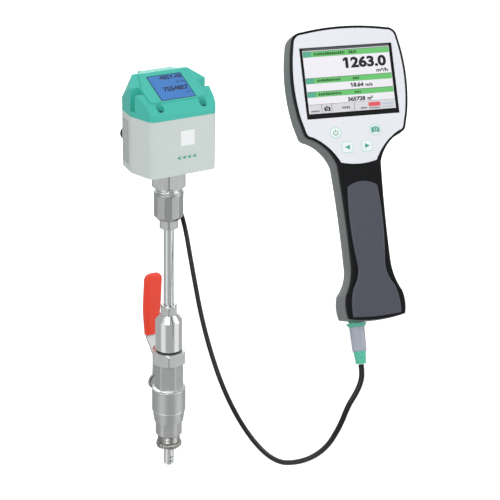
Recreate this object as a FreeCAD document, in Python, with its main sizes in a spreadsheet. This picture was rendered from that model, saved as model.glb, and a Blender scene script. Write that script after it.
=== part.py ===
import FreeCAD, Part
import math
import os
import re
import Sketcher

# Portable flow meter. An insertion probe with a display head stands in a clamping fitting on a ball
# valve, and a cable joins its head to a hand-held display.
# The origin is the middle of the weld nipple's foot, +Z runs up the probe and -Y is the display side.

# Driving dimensions in millimetres and degrees
SIZES = {
    # Weld nipple and ball valve
    "nipple_radius": 10.65,
    "nipple_length": 13.4,
    "nipple_grip": 11.0,
    "nipple_relief": 0.3,
    "port_radius": 7.5,
    "thread_gap": 0.05,
    "end_radius": 13.2,
    "end_flat": 12.4,
    "end_length": 15.3,
    "shoulder_radius": 14.6,
    "shoulder_length": 12.3,
    "seam_depth": 0.5,
    "barrel_radius": 16.75,
    "barrel_length": 25.3,
    "neck_radius": 14.4,
    "neck_flat": 12.9,
    "neck_length": 27.5,
    "hex_radius": 18.0,
    "hex_flat": 16.0,
    "hex_length": 12.7,
    "hex_chamfer": 1.2,
    "socket_thread": 10.5,
    "socket_depth": 14.5,
    "spigot_thread": 13.5,
    # Ball, seats, stem and lever
    "ball_rise": 20.0,
    "ball_radius": 12.0,
    "chamber_gap": 0.45,
    "seat_gap": 0.1,
    "seat_inner": 7.8,
    "seat_outer": 10.5,
    "seat_contact": 9.1,
    "slot_width": 5.0,
    "slot_depth": 3.4,
    "slot_gap": 0.1,
    "boss_radius": 8.5,
    "boss_reach": 19.5,
    "stem_radius": 4.0,
    "stem_gap": 0.05,
    "packing_radius": 6.5,
    "packing_depth": 2.6,
    "gland_flat": 7.5,
    "gland_height": 3.6,
    "lever_lean": 3.0,
    "lever_thickness": 2.5,
    "lever_start": 24.0,
    "hub_radius": 8.5,
    "shank_width": 8.0,
    "crank_foot": 28.0,
    "crank_rise": 15.0,
    "crank_step": 14.75,
    "strip_width": 9.5,
    "lever_reach": 106.0,
    "grip_foot": 46.0,
    "grip_reach": 112.0,
    "grip_thickness": 6.5,
    "grip_foot_width": 13.0,
    "grip_width": 20.0,
    "stem_thread": 3.0,
    "stem_nut_flat": 5.0,
    "stem_nut_height": 4.0,
    # Clamping fitting
    "washer_radius": 12.4,
    "washer_thickness": 1.4,
    "sleeve_radius": 13.3,
    "sleeve_length": 31.1,
    "sleeve_bore": 7.0,
    "cone_length": 6.3,
    "cone_radius": 8.6,
    "clamp_thread": 6.8,
    "clamp_nut_radius": 8.7,
    "clamp_nut_flat": 7.8,
    "clamp_nut_height": 10.2,
    "ring_wall": 1.0,
    "ring_height": 5.0,
    "seal_radius": 1.2,
    "seal_height": 122.0,
    # Probe
    "tube_radius": 5.0,
    "tube_bore": 3.5,
    "slide_gap": 0.05,
    "exposed_length": 80.0,
    "tip_depth": 22.0,
    "tip_length": 16.0,
    "window_width": 3.6,
    "window_height": 7.0,
    "pin_radius": 0.7,
    "pin_spacing": 2.0,
    "collar_radius": 9.6,
    "collar_flat": 8.8,
    "collar_height": 9.3,
    "coupling_radius": 14.35,
    "coupling_flat": 13.95,
    "coupling_length": 28.0,
    "coupling_foot_radius": 11.0,
    "coupling_chamfer": 4.0,
    "union_radius": 13.4,
    "union_length": 5.1,
    "spigot_radius": 9.0,
    "spigot_bore": 5.5,
    "neck_nut_radius": 17.9,
    "neck_nut_flat": 15.9,
    "neck_nut_length": 19.1,
    "neck_nut_chamfer": 2.0,
    "neck_thread": 10.0,
    "lock_nut_flat": 12.5,
    "lock_nut_height": 4.0,
    # Display head
    "housing_width": 69.4,
    "housing_depth": 57.0,
    "housing_height": 54.0,
    "side_bulge": 5.8,
    "corner_radius": 5.0,
    "kink_radius": 10.0,
    "wall": 2.4,
    "floor_thickness": 3.0,
    "gasket_inset": 1.1,
    "gasket_thickness": 1.0,
    "lid_skirt": 9.8,
    "lid_slope": 29.0,
    "lid_lip": 5.0,
    "front_facet": 8.0,
    "ridge_run": 44.3,
    "plateau_depth": 9.2,
    "rear_skirt": 12.0,
    "side_yaw": 27.1,
    "side_tilt": 67.8,
    "side_x": 29.5,
    "back_yaw": 70.8,
    "back_tilt": 64.5,
    "back_x": 28.5,
    "back_y": 17.5,
    "back_run": 12.2,
    "panel_rise": 1.0,
    "panel_half": 30.5,
    "panel_top_half": 23.5,
    "notch_front": 8.0,
    "notch_rear": 1.2,
    "notch_wall": 31.0,
    "notch_floor": 20.0,
    "slot_wall": 35.5,
    "slot_front": 5.7,
    "slot_floor": 5.0,
    "cavity_half": 25.0,
    "screw_x": 22.7,
    "screw_y": 22.4,
    "screw_radius": 1.6,
    "screw_length": 16.0,
    "screw_gap": 0.1,
    "head_radius": 2.9,
    "head_height": 3.2,
    "head_pocket": 3.8,
    "lid_seat": 4.5,
    "pillar_radius": 4.2,
    "window_half": 18.5,
    "window_start": 11.5,
    "window_length": 33.0,
    "window_thickness": 1.2,
    "window_recess": 1.6,
    "lcd_margin": 2.0,
    "lcd_thickness": 5.0,
    "fit_gap": 0.1,
    "board_width": 50.0,
    "board_depth": 34.0,
    "board_thickness": 1.6,
    "post_height": 16.0,
    "post_radius": 3.0,
    "connector_x": 22.0,
    "connector_rise": 25.5,
    "flange_radius": 7.6,
    "flange_thickness": 2.0,
    "connector_thread": 6.0,
    "connector_bore": 4.4,
    "connector_reach": 8.5,
    "connector_inner": 10.0,
    "cap_radius": 7.0,
    "cap_length": 12.5,
    "plug_nut_radius": 7.2,
    "plug_nut_length": 8.5,
    "elbow_radius": 6.6,
    "elbow_centre": 18.0,
    "elbow_drop": 32.5,
    "elbow_foot_radius": 4.2,
    "cable_radius": 2.25,
    # Hand-held display
    "hold_x": 46.4,
    "hold_y": -208.4,
    "hold_z": 422.1,
    "hold_yaw": -20.16,
    "hold_pitch": -1.74,
    "hold_roll": 63.93,
    "head_half": 48.9,
    "head_top": 44.4,
    "grip_half": 16.8,
    "pad_waist": 11.9,
    "pad_flare": 20.3,
    "pad_top": 83.5,
    "pad_foot": 193.6,
    "pad_seat": 0.8,
    "pad_rise": 1.2,
    "pad_chamfer": 0.7,
    "butt_half": 24.9,
    "body_foot": 196.1,
    "front_depth": 3.4,
    "belly_depth": 18.0,
    "body_depth": 31.0,
    "belly_swell": 0.8,
    "butt_flare": 2.4,
    "back_inset": 4.4,
    "bezel": 2.1,
    "rim_chamfer": 0.8,
    "foil_thickness": 0.5,
    "foil_foot": 69.4,
    "foil_gap": 0.1,
    "glass_half": 39.1,
    "glass_low": 30.3,
    "glass_high": 27.9,
    "glass_thickness": 1.1,
    "panel_margin": 1.5,
    "panel_thickness": 3.6,
    "shell_wall": 2.2,
    "front_wall": 1.6,
    "circuit_width": 66.0,
    "circuit_low": 44.0,
    "circuit_high": 32.0,
    "circuit_depth": 16.0,
    "circuit_thickness": 1.6,
    "boss_x": 27.0,
    "boss_low": 36.0,
    "boss_high": 24.0,
    "boss_size": 3.6,
    "pack_width": 20.0,
    "pack_length": 72.0,
    "pack_top": 92.0,
    "pack_thickness": 14.0,
    "case_screw_radius": 1.4,
    "case_screw_head": 2.6,
    "case_screw_length": 14.0,
    "inlet_x": -13.2,
    "inlet_depth": 17.2,
    "inlet_radius": 6.4,
    "inlet_length": 14.0,
    "ring_radius": 8.3,
    "ring_foot_radius": 6.8,
    "ring_length": 3.0,
    "sleeve_top_radius": 6.3,
    "sleeve_foot_radius": 5.8,
    "plug_sleeve_length": 20.0,
    "relief_radius": 5.4,
    "relief_foot_radius": 4.4,
    "relief_length": 10.4,
}

# Places worked out from the driving dimensions, heights first
PLACES = {
    "shoulder_foot": "nipple_length + end_length",
    "barrel_foot": "shoulder_foot + shoulder_length",
    "ball_centre": "barrel_foot + ball_rise",
    "neck_foot": "barrel_foot + barrel_length",
    "hex_foot": "neck_foot + neck_length",
    "valve_top": "hex_foot + hex_length",
    "sleeve_foot": "valve_top + washer_thickness",
    "cone_foot": "sleeve_foot + sleeve_length",
    "fitting_top": "cone_foot + cone_length",
    "clamp_top": "fitting_top + clamp_nut_height",
    "collar_foot": "clamp_top + exposed_length",
    "coupling_foot": "collar_foot + collar_height",
    "union_foot": "coupling_foot + coupling_length",
    "neck_nut_foot": "union_foot + union_length",
    "housing_foot": "neck_nut_foot + neck_nut_length",
    "housing_top": "housing_foot + housing_height",
    "front_y": "-housing_depth / 2",
    "rear_y": "housing_depth / 2",
    "ridge_y": "front_y + ridge_run",
    "ridge_top": "housing_top + lid_skirt + ridge_run * tan(lid_slope)",
    "guide_radius": "tube_radius + slide_gap",
    "seat_reach": "sqrt((ball_radius + seat_gap)^2 - seat_contact^2)",
    "seat_inner_reach": "seat_reach + (seat_contact - seat_inner) * seat_contact / seat_reach",
    "seat_outer_reach": "seat_reach - (seat_outer - seat_contact) * seat_contact / seat_reach",
    "seat_back": "ball_radius + seat_gap",
    "connector_z": "housing_foot + connector_rise",
}

FUNCTIONS = ("sqrt", "sin", "cos", "tan", "min", "max", "placement", "vector", "rotation")

doc = FreeCAD.newDocument("flow_meter")
sheet = doc.addObject("Spreadsheet::Sheet", "size")


def bound(formula):
    """Formula for setExpression: each word becomes a cell of the sheet or the place it stands for."""
    def swap(match):
        word = match.group(0)
        if word in PLACES:
            return "(" + bound(PLACES[word]) + ")"
        return word if word in FUNCTIONS else "size." + word
    return re.sub(r"[a-z][a-z_]+", swap, formula)


def value(formula):
    """Number that a formula gives with the present sizes."""
    return float(sheet.evalExpression(bound(formula)))


def fill_sheet():
    """One row for each driving dimension, named by its alias."""
    for row, (alias, size) in enumerate(SIZES.items(), start=1):
        sheet.set("A%d" % row, alias)
        sheet.set("B%d" % row, str(size))
        sheet.setAlias("B%d" % row, alias)
    doc.recompute()


def new_body(label, place=None):
    """Empty body for one piece, at the place that a placement formula gives."""
    body = doc.addObject("PartDesign::Body", label)
    body.Label = label
    if place:
        body.setExpression("Placement", bound(place))
    return body


def new_sketch(body, plane, offset=None):
    """Sketch on one of the body's own origin planes, moved by an offset formula."""
    sketch = body.newObject("Sketcher::SketchObject", body.Label + "_sketch")
    support = [item for item in body.Origin.OriginFeatures if item.Role == plane][0]
    sketch.AttachmentSupport = [(support, "")]
    sketch.MapMode = "FlatFace"
    if offset:
        sketch.setExpression("AttachmentOffset", bound(offset))
    return sketch


def lift(height):
    """Offset formula that moves a sketch along its plane's normal."""
    return "placement(vector(0; 0; %s); rotation(0; 0; 0))" % height


def pin_point(sketch, index, end, point):
    """Ties one point of a sketch to its two formulas."""
    for kind, axis, formula in (("DistanceX", -2, point[0]), ("DistanceY", -1, point[1])):
        if formula == "0":
            sketch.addConstraint(Sketcher.Constraint("PointOnObject", index, end, axis))
            continue
        number = sketch.addConstraint(
            Sketcher.Constraint(kind, -1, 1, index, end, value(formula)))
        sketch.setExpression("Constraints[%d]" % number, bound(formula))


def spot(point):
    """Vector at the present place of a pair of formulas."""
    return FreeCAD.Vector(value(point[0]), value(point[1]), 0)


def draw_outline(sketch, path):
    """Closed outline through pairs of formulas; a point marked arc lies on the curve between its neighbours."""
    corners = [i for i, point in enumerate(path) if len(point) == 2]
    edges = []
    for here, after in zip(corners, corners[1:] + corners[:1]):
        between = (here + 1) % len(path)
        first, last = path[here], path[after]
        if between == after:
            index = sketch.addGeometry(Part.LineSegment(spot(first), spot(last)))
            edges.append((index, 1, 2))
            continue
        index = sketch.addGeometry(Part.Arc(spot(first), spot(path[between]), spot(last)))
        forward = sketch.getPoint(index, 1).distanceToPoint(spot(first)) < 1e-6
        edges.append((index, 1, 2) if forward else (index, 2, 1))
        mark = sketch.addGeometry(Part.Point(spot(path[between])), True)
        pin_point(sketch, mark, 1, path[between])
        sketch.addConstraint(Sketcher.Constraint("PointOnObject", mark, 1, index))
    for number, corner in enumerate(corners):
        index, start, _ = edges[number]
        before, _, end = edges[number - 1]
        sketch.addConstraint(Sketcher.Constraint("Coincident", before, end, index, start))
        pin_point(sketch, index, start, path[corner])


def draw_circle(sketch, centre, radius):
    """Circle with its centre and radius tied to formulas."""
    index = sketch.addGeometry(Part.Circle(spot(centre), FreeCAD.Vector(0, 0, 1), value(radius)))
    pin_point(sketch, index, 3, centre)
    number = sketch.addConstraint(Sketcher.Constraint("Radius", index, value(radius)))
    sketch.setExpression("Constraints[%d]" % number, bound(radius))


def rectangle(left, low, right, high):
    """Path of a rectangle."""
    return [(left, low), (right, low), (right, high), (left, high)]


def polygon(sides, flat, turn):
    """Path of a regular polygon from its distance to a flat, with its first corner at the given turn."""
    corner = "(%s) / cos(%s)" % (flat, 180 / sides)
    angles = [turn + 360 * i / sides for i in range(sides)]
    return [("%s * %.6f" % (corner, math.cos(math.radians(a))),
             "%s * %.6f" % (corner, math.sin(math.radians(a)))) for a in angles]


def feature(body, kind, sketch, **settings):
    """Feature of a body made from a sketch; a cut that takes nothing away stops the script."""
    cutting = kind in ("Pocket", "Groove", "SubtractiveLoft")
    before = body.Shape.Volume if cutting else 0
    made = body.newObject("PartDesign::" + kind, body.Label + "_" + kind.lower())
    made.Profile = sketch
    for name, setting in settings.items():
        if name in ("Length", "Angle") and isinstance(setting, str):
            made.setExpression(name, bound(setting))
        else:
            setattr(made, name, setting)
    doc.recompute()
    if cutting and body.Shape.Volume >= before - 1e-6:
        raise RuntimeError(body.Label + ": a cut takes nothing away")
    return made


def turn_about(body, sketch, cut=False):
    """Full turn of a sketch about its own vertical axis."""
    return feature(body, "Groove" if cut else "Revolution", sketch,
                   ReferenceAxis=(sketch, ["V_Axis"]), Angle=360.0)


def add_turned(body, path, cut=False):
    """Adds or cuts a turned form whose path gives radius and height."""
    sketch = new_sketch(body, "XZ_Plane")
    draw_outline(sketch, path)
    return turn_about(body, sketch, cut)


def turned(label, path, place=None):
    """Piece turned about Z from radius and height formulas."""
    body = new_body(label, place)
    add_turned(body, path)
    return body


def pad(body, path, length, plane="XY_Plane", offset=None, **settings):
    """Pads a closed path."""
    sketch = new_sketch(body, plane, offset)
    draw_outline(sketch, path)
    return feature(body, "Pad", sketch, Length=length, **settings)


def pocket(body, path, length, plane="XY_Plane", offset=None, **settings):
    """Pockets a closed path."""
    sketch = new_sketch(body, plane, offset)
    draw_outline(sketch, path)
    return feature(body, "Pocket", sketch, Length=length, **settings)


def bore(body, centres, radius, length, plane="XY_Plane", offset=None, **settings):
    """Round holes at several centres."""
    sketch = new_sketch(body, plane, offset)
    for centre in centres:
        draw_circle(sketch, centre, radius)
    return feature(body, "Pocket", sketch, Length=length, **settings)


def posts(body, centres, radius, length, plane="XY_Plane", offset=None, **settings):
    """Round posts at several centres."""
    sketch = new_sketch(body, plane, offset)
    for centre in centres:
        draw_circle(sketch, centre, radius)
    return feature(body, "Pad", sketch, Length=length, **settings)


def cut_flats(body, sides, flat, turn, foot, length, clear):
    """Mills flats on a turned piece, leaving a regular polygon between two heights."""
    sketch = new_sketch(body, "XY_Plane", lift(foot))
    draw_outline(sketch, polygon(sides, flat, turn))
    draw_circle(sketch, ("0", "0"), clear)
    feature(body, "Pocket", sketch, Length=length, Reversed=True)


def round_edges(body, radius, choose):
    """Fillets the edges of the tip that a test picks."""
    tip = body.Tip
    names = ["Edge%d" % (i + 1) for i, edge in enumerate(tip.Shape.Edges) if choose(edge)]
    if not names:
        raise RuntimeError(body.Label + ": no edge to round")
    made = body.newObject("PartDesign::Fillet", body.Label + "_fillet")
    made.Base = (tip, names)
    made.setExpression("Radius", bound(radius))
    doc.recompute()
    if "Invalid" in made.State:
        raise RuntimeError(body.Label + ": the rounding failed")
    return made


def upright(edge):
    """True for a straight edge along Z."""
    if not isinstance(edge.Curve, Part.Line):
        return False
    return abs(abs(edge.Curve.Direction.z) - 1) < 1e-6


def make_nipple():
    """Short pipe stub, welded to the pipe and screwed into the valve."""
    thread_foot = "nipple_length - nipple_relief"
    top = "nipple_length + nipple_grip - thread_gap"
    thread = "nipple_radius - nipple_relief"
    turned("weld_nipple", [
        ("port_radius", "0"), ("nipple_radius", "0"), ("nipple_radius", thread_foot),
        (thread, thread_foot), (thread, top), ("port_radius", top)])


def make_valve_end():
    """Lower end piece of the valve, screwed up into its barrel behind the lower seat."""
    seat_floor = "ball_centre - seat_back"
    spigot_top = "ball_centre - seat_outer_reach"
    body = turned("valve_end", [
        ("nipple_radius - nipple_relief + thread_gap", "nipple_length"),
        ("end_radius - hex_chamfer / 2", "nipple_length"),
        ("end_radius", "nipple_length + hex_chamfer / 2"),
        ("end_radius", "shoulder_foot"),
        ("shoulder_radius", "shoulder_foot"),
        ("barrel_radius - seam_depth", "barrel_foot - seam_depth"),
        ("barrel_radius - 2 * seam_depth", "barrel_foot"),
        ("spigot_thread", "barrel_foot"),
        ("spigot_thread", spigot_top),
        ("seat_outer + thread_gap", spigot_top),
        ("seat_outer + thread_gap", seat_floor),
        ("port_radius", seat_floor),
        ("port_radius", "nipple_length + nipple_grip"),
        ("nipple_radius - nipple_relief + thread_gap", "nipple_length + nipple_grip"),
    ])
    cut_flats(body, 6, "end_flat", 26, "nipple_length", "end_length", "end_radius + 3")


def make_valve_body():
    """Barrel, neck and hexagon of the valve in one casting, with the stem's boss at the back."""
    body = turned("valve_body", [
        ("0", "barrel_foot"),
        ("barrel_radius - seam_depth", "barrel_foot"),
        ("barrel_radius", "barrel_foot + seam_depth"),
        ("barrel_radius", "neck_foot - 3 * seam_depth"),
        ("neck_radius", "neck_foot"),
        ("neck_radius", "hex_foot"),
        ("hex_radius - hex_chamfer", "hex_foot"),
        ("hex_radius", "hex_foot + hex_chamfer"),
        ("hex_radius", "valve_top - hex_chamfer"),
        ("hex_radius - hex_chamfer", "valve_top"),
        ("0", "valve_top"),
    ])
    cut_flats(body, 6, "hex_flat", 0, "hex_foot", "hex_length", "hex_radius + 3")
    cut_flats(body, 6, "neck_flat", 26, "neck_foot", "neck_length", "neck_radius + 0.5")
    posts(body, [("0", "ball_centre")], "boss_radius", "boss_reach", "XZ_Plane", Reversed=True)
    chamber = "ball_radius + chamber_gap"
    add_turned(body, [
        ("0", "barrel_foot"),
        ("spigot_thread + thread_gap", "barrel_foot"),
        ("spigot_thread + thread_gap", "ball_centre - seat_outer_reach + 2 * seam_depth"),
        (chamber, "ball_centre - seat_outer_reach + 2 * seam_depth"),
        (chamber, "ball_centre + 2"),
        ("seat_outer + thread_gap", "ball_centre + seat_outer_reach"),
        ("seat_outer + thread_gap", "ball_centre + seat_back"),
        ("port_radius", "ball_centre + seat_back"),
        ("port_radius", "valve_top - socket_depth"),
        ("socket_thread", "valve_top - socket_depth"),
        ("socket_thread", "valve_top"),
        ("0", "valve_top"),
    ], cut=True)
    bore(body, [("0", "ball_centre")], "stem_radius + stem_gap", "boss_reach", "XZ_Plane")
    bore(body, [("0", "ball_centre")], "packing_radius", "packing_depth", "XZ_Plane",
         lift("-boss_reach"), Reversed=True)


STEM_FRAME = "placement(vector(0; 0; ball_centre); rotation(vector(0; 1; 0); lever_lean))"


def make_seats():
    """Two plastic seat rings that hold the ball between them."""
    path = [("seat_inner", "seat_inner_reach"), ("seat_outer", "seat_outer_reach"),
            ("seat_outer", "seat_back"), ("seat_inner", "seat_back")]
    upper = turned("seat_upper", path, "placement(vector(0; 0; ball_centre); rotation(0; 0; 0))")
    lower = turned("seat_lower", path, "placement(vector(0; 0; ball_centre); rotation(0; 0; 180))")
    return upper, lower


def make_ball():
    """Ball with its through port and the slot that the stem turns it by."""
    body = new_body("valve_ball", STEM_FRAME)
    sketch = new_sketch(body, "XZ_Plane")
    draw_outline(sketch, [("0", "-ball_radius"), ("ball_radius", "0", "arc"), ("0", "ball_radius")])
    turn_about(body, sketch)
    bore(body, [("0", "0")], "port_radius", "4 * ball_radius", Midplane=True)
    floor = "ball_radius - slot_depth"
    pocket(body, rectangle("-slot_width / 2", floor, "slot_width / 2", "ball_radius + 1"),
           "4 * ball_radius", Midplane=True)


def make_stem():
    """Stem with a tang in the ball's slot and a thread for the lever's nut."""
    body = new_body("valve_stem", STEM_FRAME)
    root = "ball_radius + slot_gap"
    shoulder = "lever_start + lever_thickness"
    reach = shoulder + " + stem_nut_height + 0.8"
    posts(body, [("0", "0")], "stem_radius", shoulder + " - (%s) - 0.3" % root, "XZ_Plane",
          lift("-(%s)" % root), Reversed=True)
    posts(body, [("0", "0")], "stem_thread", reach + " - (%s)" % root, "XZ_Plane",
          lift("-(%s)" % root), Reversed=True)
    half = "slot_width / 2 - slot_gap"
    pad(body, rectangle("-(%s)" % half, "ball_radius - slot_depth + slot_gap", half, root),
        "1.6 * stem_radius", Midplane=True)


def make_stem_seal():
    """Packing ring in the boss and the gland nut that holds it."""
    back = "placement(vector(0; %s; ball_centre); rotation(vector(1; 0; 0); -90))"
    turned("stem_packing", rectangle("stem_radius + stem_gap", "0", "packing_radius - thread_gap",
                                     "packing_depth"), back % "boss_reach - packing_depth")
    gland = turned("gland_nut", [
        ("stem_radius + stem_gap", "0"), ("gland_flat + 0.6", "0"),
        ("gland_flat + 0.6", "gland_height - 0.6"), ("gland_flat", "gland_height"),
        ("stem_radius + stem_gap", "gland_height")], back % "boss_reach")
    cut_flats(gland, 6, "gland_flat", 0, "0", "gland_height", "gland_flat + 3")


def make_lever():
    """Cranked steel lever, its plastic grip and the nut on the stem."""
    inner = "lever_start"
    outer = "lever_start + lever_thickness"
    top = "crank_foot + crank_rise"
    body = new_body("valve_lever", STEM_FRAME)
    pad(body, [
        (inner, "-hub_radius"), (outer, "-hub_radius"), (outer, "crank_foot"),
        (outer + " + crank_step", top), (outer + " + crank_step", "lever_reach"),
        (inner + " + crank_step", "lever_reach"), (inner + " + crank_step", top + " + 0.8"),
        (inner, "crank_foot + 0.8")], "2 * hub_radius", "YZ_Plane", Midplane=True)
    sketch = new_sketch(body, "XZ_Plane")
    draw_outline(sketch, [
        ("-shank_width / 2", "hub_radius * 0.86"), ("0", "-hub_radius", "arc"),
        ("shank_width / 2", "hub_radius * 0.86"), ("shank_width / 2", "crank_foot"),
        ("strip_width / 2", top), ("strip_width / 2", "lever_reach"),
        ("-strip_width / 2", "lever_reach"), ("-strip_width / 2", top),
        ("-shank_width / 2", "crank_foot")])
    draw_outline(sketch, rectangle("-2 * hub_radius", "-2 * hub_radius", "2 * hub_radius",
                                   "lever_reach + hub_radius"))
    feature(body, "Pocket", sketch, Length="12 * hub_radius", Midplane=True)
    bore(body, [("0", "0")], "stem_radius + thread_gap", "12 * hub_radius", "XZ_Plane", Midplane=True)

    grip = new_body("lever_grip", STEM_FRAME)
    middle = "lever_start + crank_step + lever_thickness / 2"
    pad(grip, [
        ("-grip_foot_width / 2", "grip_foot"), ("grip_foot_width / 2", "grip_foot"),
        ("grip_width / 2 - 1.6", "grip_foot + 22", "arc"),
        ("grip_width / 2", "grip_foot + 36"), ("grip_width / 2", "grip_reach - 7"),
        ("grip_width / 2 - 2.2", "grip_reach - 2.2", "arc"),
        ("grip_width / 2 - 7", "grip_reach"), ("7 - grip_width / 2", "grip_reach"),
        ("2.2 - grip_width / 2", "grip_reach - 2.2", "arc"),
        ("-grip_width / 2", "grip_reach - 7"), ("-grip_width / 2", "grip_foot + 36"),
        ("1.6 - grip_width / 2", "grip_foot + 22", "arc")],
        "grip_thickness", "XZ_Plane", lift("-(%s)" % middle), Midplane=True)
    round_edges(grip, "grip_thickness / 3",
                lambda edge: abs(edge.BoundBox.YLength) < 1e-3 and edge.BoundBox.ZMin > value("grip_foot") - 0.01
                and edge.BoundBox.ZLength > 0.5)
    half = "lever_thickness / 2 + thread_gap"
    pocket(grip, rectangle("-strip_width / 2 - thread_gap", middle + " - (%s)" % half,
                           "strip_width / 2 + thread_gap", middle + " + " + half),
           "lever_reach - grip_foot + thread_gap", "XY_Plane", lift("grip_foot"), Reversed=True)

    nut = new_body("stem_nut", STEM_FRAME)
    sketch = new_sketch(nut, "XZ_Plane", lift("-(%s)" % outer))
    draw_outline(sketch, polygon(6, "stem_nut_flat", 0))
    draw_circle(sketch, ("0", "0"), "stem_thread + thread_gap")
    feature(nut, "Pad", sketch, Length="stem_nut_height", Reversed=True)


def make_fitting():
    """Clamping fitting in the top of the valve: washer, sleeve, seal, clamp ring and nut."""
    turned("sleeve_washer", rectangle("socket_thread", "valve_top", "washer_radius", "sleeve_foot"))
    turned("fitting_sleeve", [
        ("sleeve_bore", "valve_top - socket_depth + 1"),
        ("socket_thread - thread_gap", "valve_top - socket_depth + 1"),
        ("socket_thread - thread_gap", "sleeve_foot"),
        ("sleeve_radius - 0.6", "sleeve_foot"), ("sleeve_radius", "sleeve_foot + 0.6"),
        ("sleeve_radius", "cone_foot"), ("cone_radius", "fitting_top"),
        ("clamp_thread", "fitting_top"), ("clamp_thread", "clamp_top - ring_height - 1.5"),
        ("guide_radius + ring_wall + 0.1", "clamp_top - ring_height - 1.5"),
        ("guide_radius + 0.1", "clamp_top - ring_height - 3"),
        ("guide_radius", "fitting_top - 3"),
        ("guide_radius", "seal_height + 2 * seal_radius"),
        ("tube_radius + 2 * seal_radius + 0.1", "seal_height + 2 * seal_radius"),
        ("tube_radius + 2 * seal_radius + 0.1", "seal_height"),
        ("guide_radius", "seal_height"), ("guide_radius", "seal_height - 4"),
        ("sleeve_bore", "seal_height - 6"),
    ])
    seal = "tube_radius + slide_gap + seal_radius"
    body = new_body("seal_ring")
    sketch = new_sketch(body, "XZ_Plane")
    draw_circle(sketch, (seal, "seal_height + seal_radius"), "seal_radius - 0.02")
    turn_about(body, sketch)
    turned("clamp_ring", [
        ("guide_radius", "clamp_top - ring_height - 1.2"),
        ("guide_radius + ring_wall", "clamp_top - ring_height - 1.2"),
        ("guide_radius + ring_wall", "clamp_top - 2.6"), ("guide_radius", "clamp_top - 2.6")])
    clear = "guide_radius + ring_wall + 0.1"
    nut = turned("clamp_nut", [
        ("clamp_thread + thread_gap", "fitting_top"), ("clamp_nut_radius", "fitting_top"),
        ("clamp_nut_radius", "clamp_top - 1.8"), ("clamp_nut_radius - 1.6", "clamp_top"),
        ("guide_radius + 0.2", "clamp_top"), ("guide_radius + 0.2", "clamp_top - 2.4"),
        (clear, "clamp_top - 2.4"), (clear, "clamp_top - ring_height - 1.3"),
        ("clamp_thread + thread_gap", "clamp_top - ring_height - 1.3")])
    cut_flats(nut, 6, "clamp_nut_flat", 0, "fitting_top", "clamp_nut_height", "clamp_nut_radius + 3")


def make_probe():
    """Steel tube, the slotted tip with its two sensing pins, and the collar that carries the tube."""
    foot = "-tip_depth"
    joint = "tip_length - tip_depth"
    turned("probe_tube", rectangle("tube_bore", joint, "tube_radius", "union_foot - 4"))
    tip = turned("probe_tip", [
        ("0", foot), ("tube_radius - 1", foot), ("tube_radius", "1 - tip_depth"),
        ("tube_radius", joint), ("tube_bore - thread_gap", joint),
        ("tube_bore - thread_gap", joint + " + 5"), ("0", joint + " + 5")])
    low = "3 - tip_depth"
    pocket(tip, rectangle("-window_width / 2", low, "window_width / 2", low + " + window_height"),
           "4 * tube_radius", "XZ_Plane", Midplane=True)
    pins = new_body("sensing_pin_left")
    length = "window_height - 1.5"
    for label, side in (("sensing_pin_left", "-"), ("sensing_pin_right", "")):
        pins = doc.getObject(label) or new_body(label)
        posts(pins, [(side + "pin_spacing / 2", "0")], "pin_radius", length, "XY_Plane",
              lift(low + " + 1.5"), Reversed=False)
    collar = turned("tube_collar", [
        ("tube_radius + thread_gap", "collar_foot"), ("collar_radius - 1.2", "collar_foot"),
        ("collar_radius", "collar_foot + 1.2"), ("collar_radius", "coupling_foot"),
        ("tube_radius + thread_gap", "coupling_foot")])
    cut_flats(collar, 6, "collar_flat", 0, "collar_foot", "collar_height", "collar_radius + 3")


def make_coupling():
    """Twelve-sided coupling, the union ring above it and the hexagon nut under the head."""
    coupling = turned("coupling_barrel", [
        ("tube_radius + thread_gap", "coupling_foot"),
        ("coupling_foot_radius", "coupling_foot"),
        ("coupling_radius", "coupling_foot + coupling_chamfer"),
        ("coupling_radius", "union_foot - 0.8"), ("coupling_radius - 0.8", "union_foot"),
        ("spigot_radius", "union_foot"), ("spigot_radius", "neck_nut_foot + 8"),
        ("spigot_bore", "neck_nut_foot + 8"), ("spigot_bore", "union_foot - 3"),
        ("tube_radius + thread_gap", "union_foot - 3")])
    cut_flats(coupling, 12, "coupling_flat", 11, "coupling_foot", "coupling_length - 3",
              "coupling_radius + 3")
    turned("union_ring", [
        ("spigot_radius + thread_gap", "union_foot"), ("union_radius", "union_foot"),
        ("union_radius", "union_foot + 1.6"), ("union_radius - 1.2", "union_foot + 2.2"),
        ("union_radius - 1.2", "neck_nut_foot - 1.4"), ("union_radius + 0.6", "neck_nut_foot - 1"),
        ("union_radius + 0.6", "neck_nut_foot"), ("spigot_radius + thread_gap", "neck_nut_foot")])
    nut = turned("neck_nut", [
        ("spigot_radius + thread_gap", "neck_nut_foot"),
        ("neck_nut_radius - neck_nut_chamfer", "neck_nut_foot"),
        ("neck_nut_radius", "neck_nut_foot + neck_nut_chamfer"),
        ("neck_nut_radius", "housing_foot"), ("neck_thread", "housing_foot"),
        ("neck_thread", "housing_foot + floor_thickness + lock_nut_height + 1"),
        ("spigot_bore", "housing_foot + floor_thickness + lock_nut_height + 1"),
        ("spigot_bore", "neck_nut_foot + 8.5"),
        ("spigot_radius + thread_gap", "neck_nut_foot + 8.5")])
    cut_flats(nut, 6, "neck_nut_flat", 0, "neck_nut_foot", "neck_nut_length", "neck_nut_radius + 3")
    lock = new_body("lock_nut")
    sketch = new_sketch(lock, "XY_Plane", lift("housing_foot + floor_thickness"))
    draw_outline(sketch, polygon(6, "lock_nut_flat", 0))
    draw_circle(sketch, ("0", "0"), "neck_thread + thread_gap")
    feature(lock, "Pad", sketch, Length="lock_nut_height")


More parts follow.
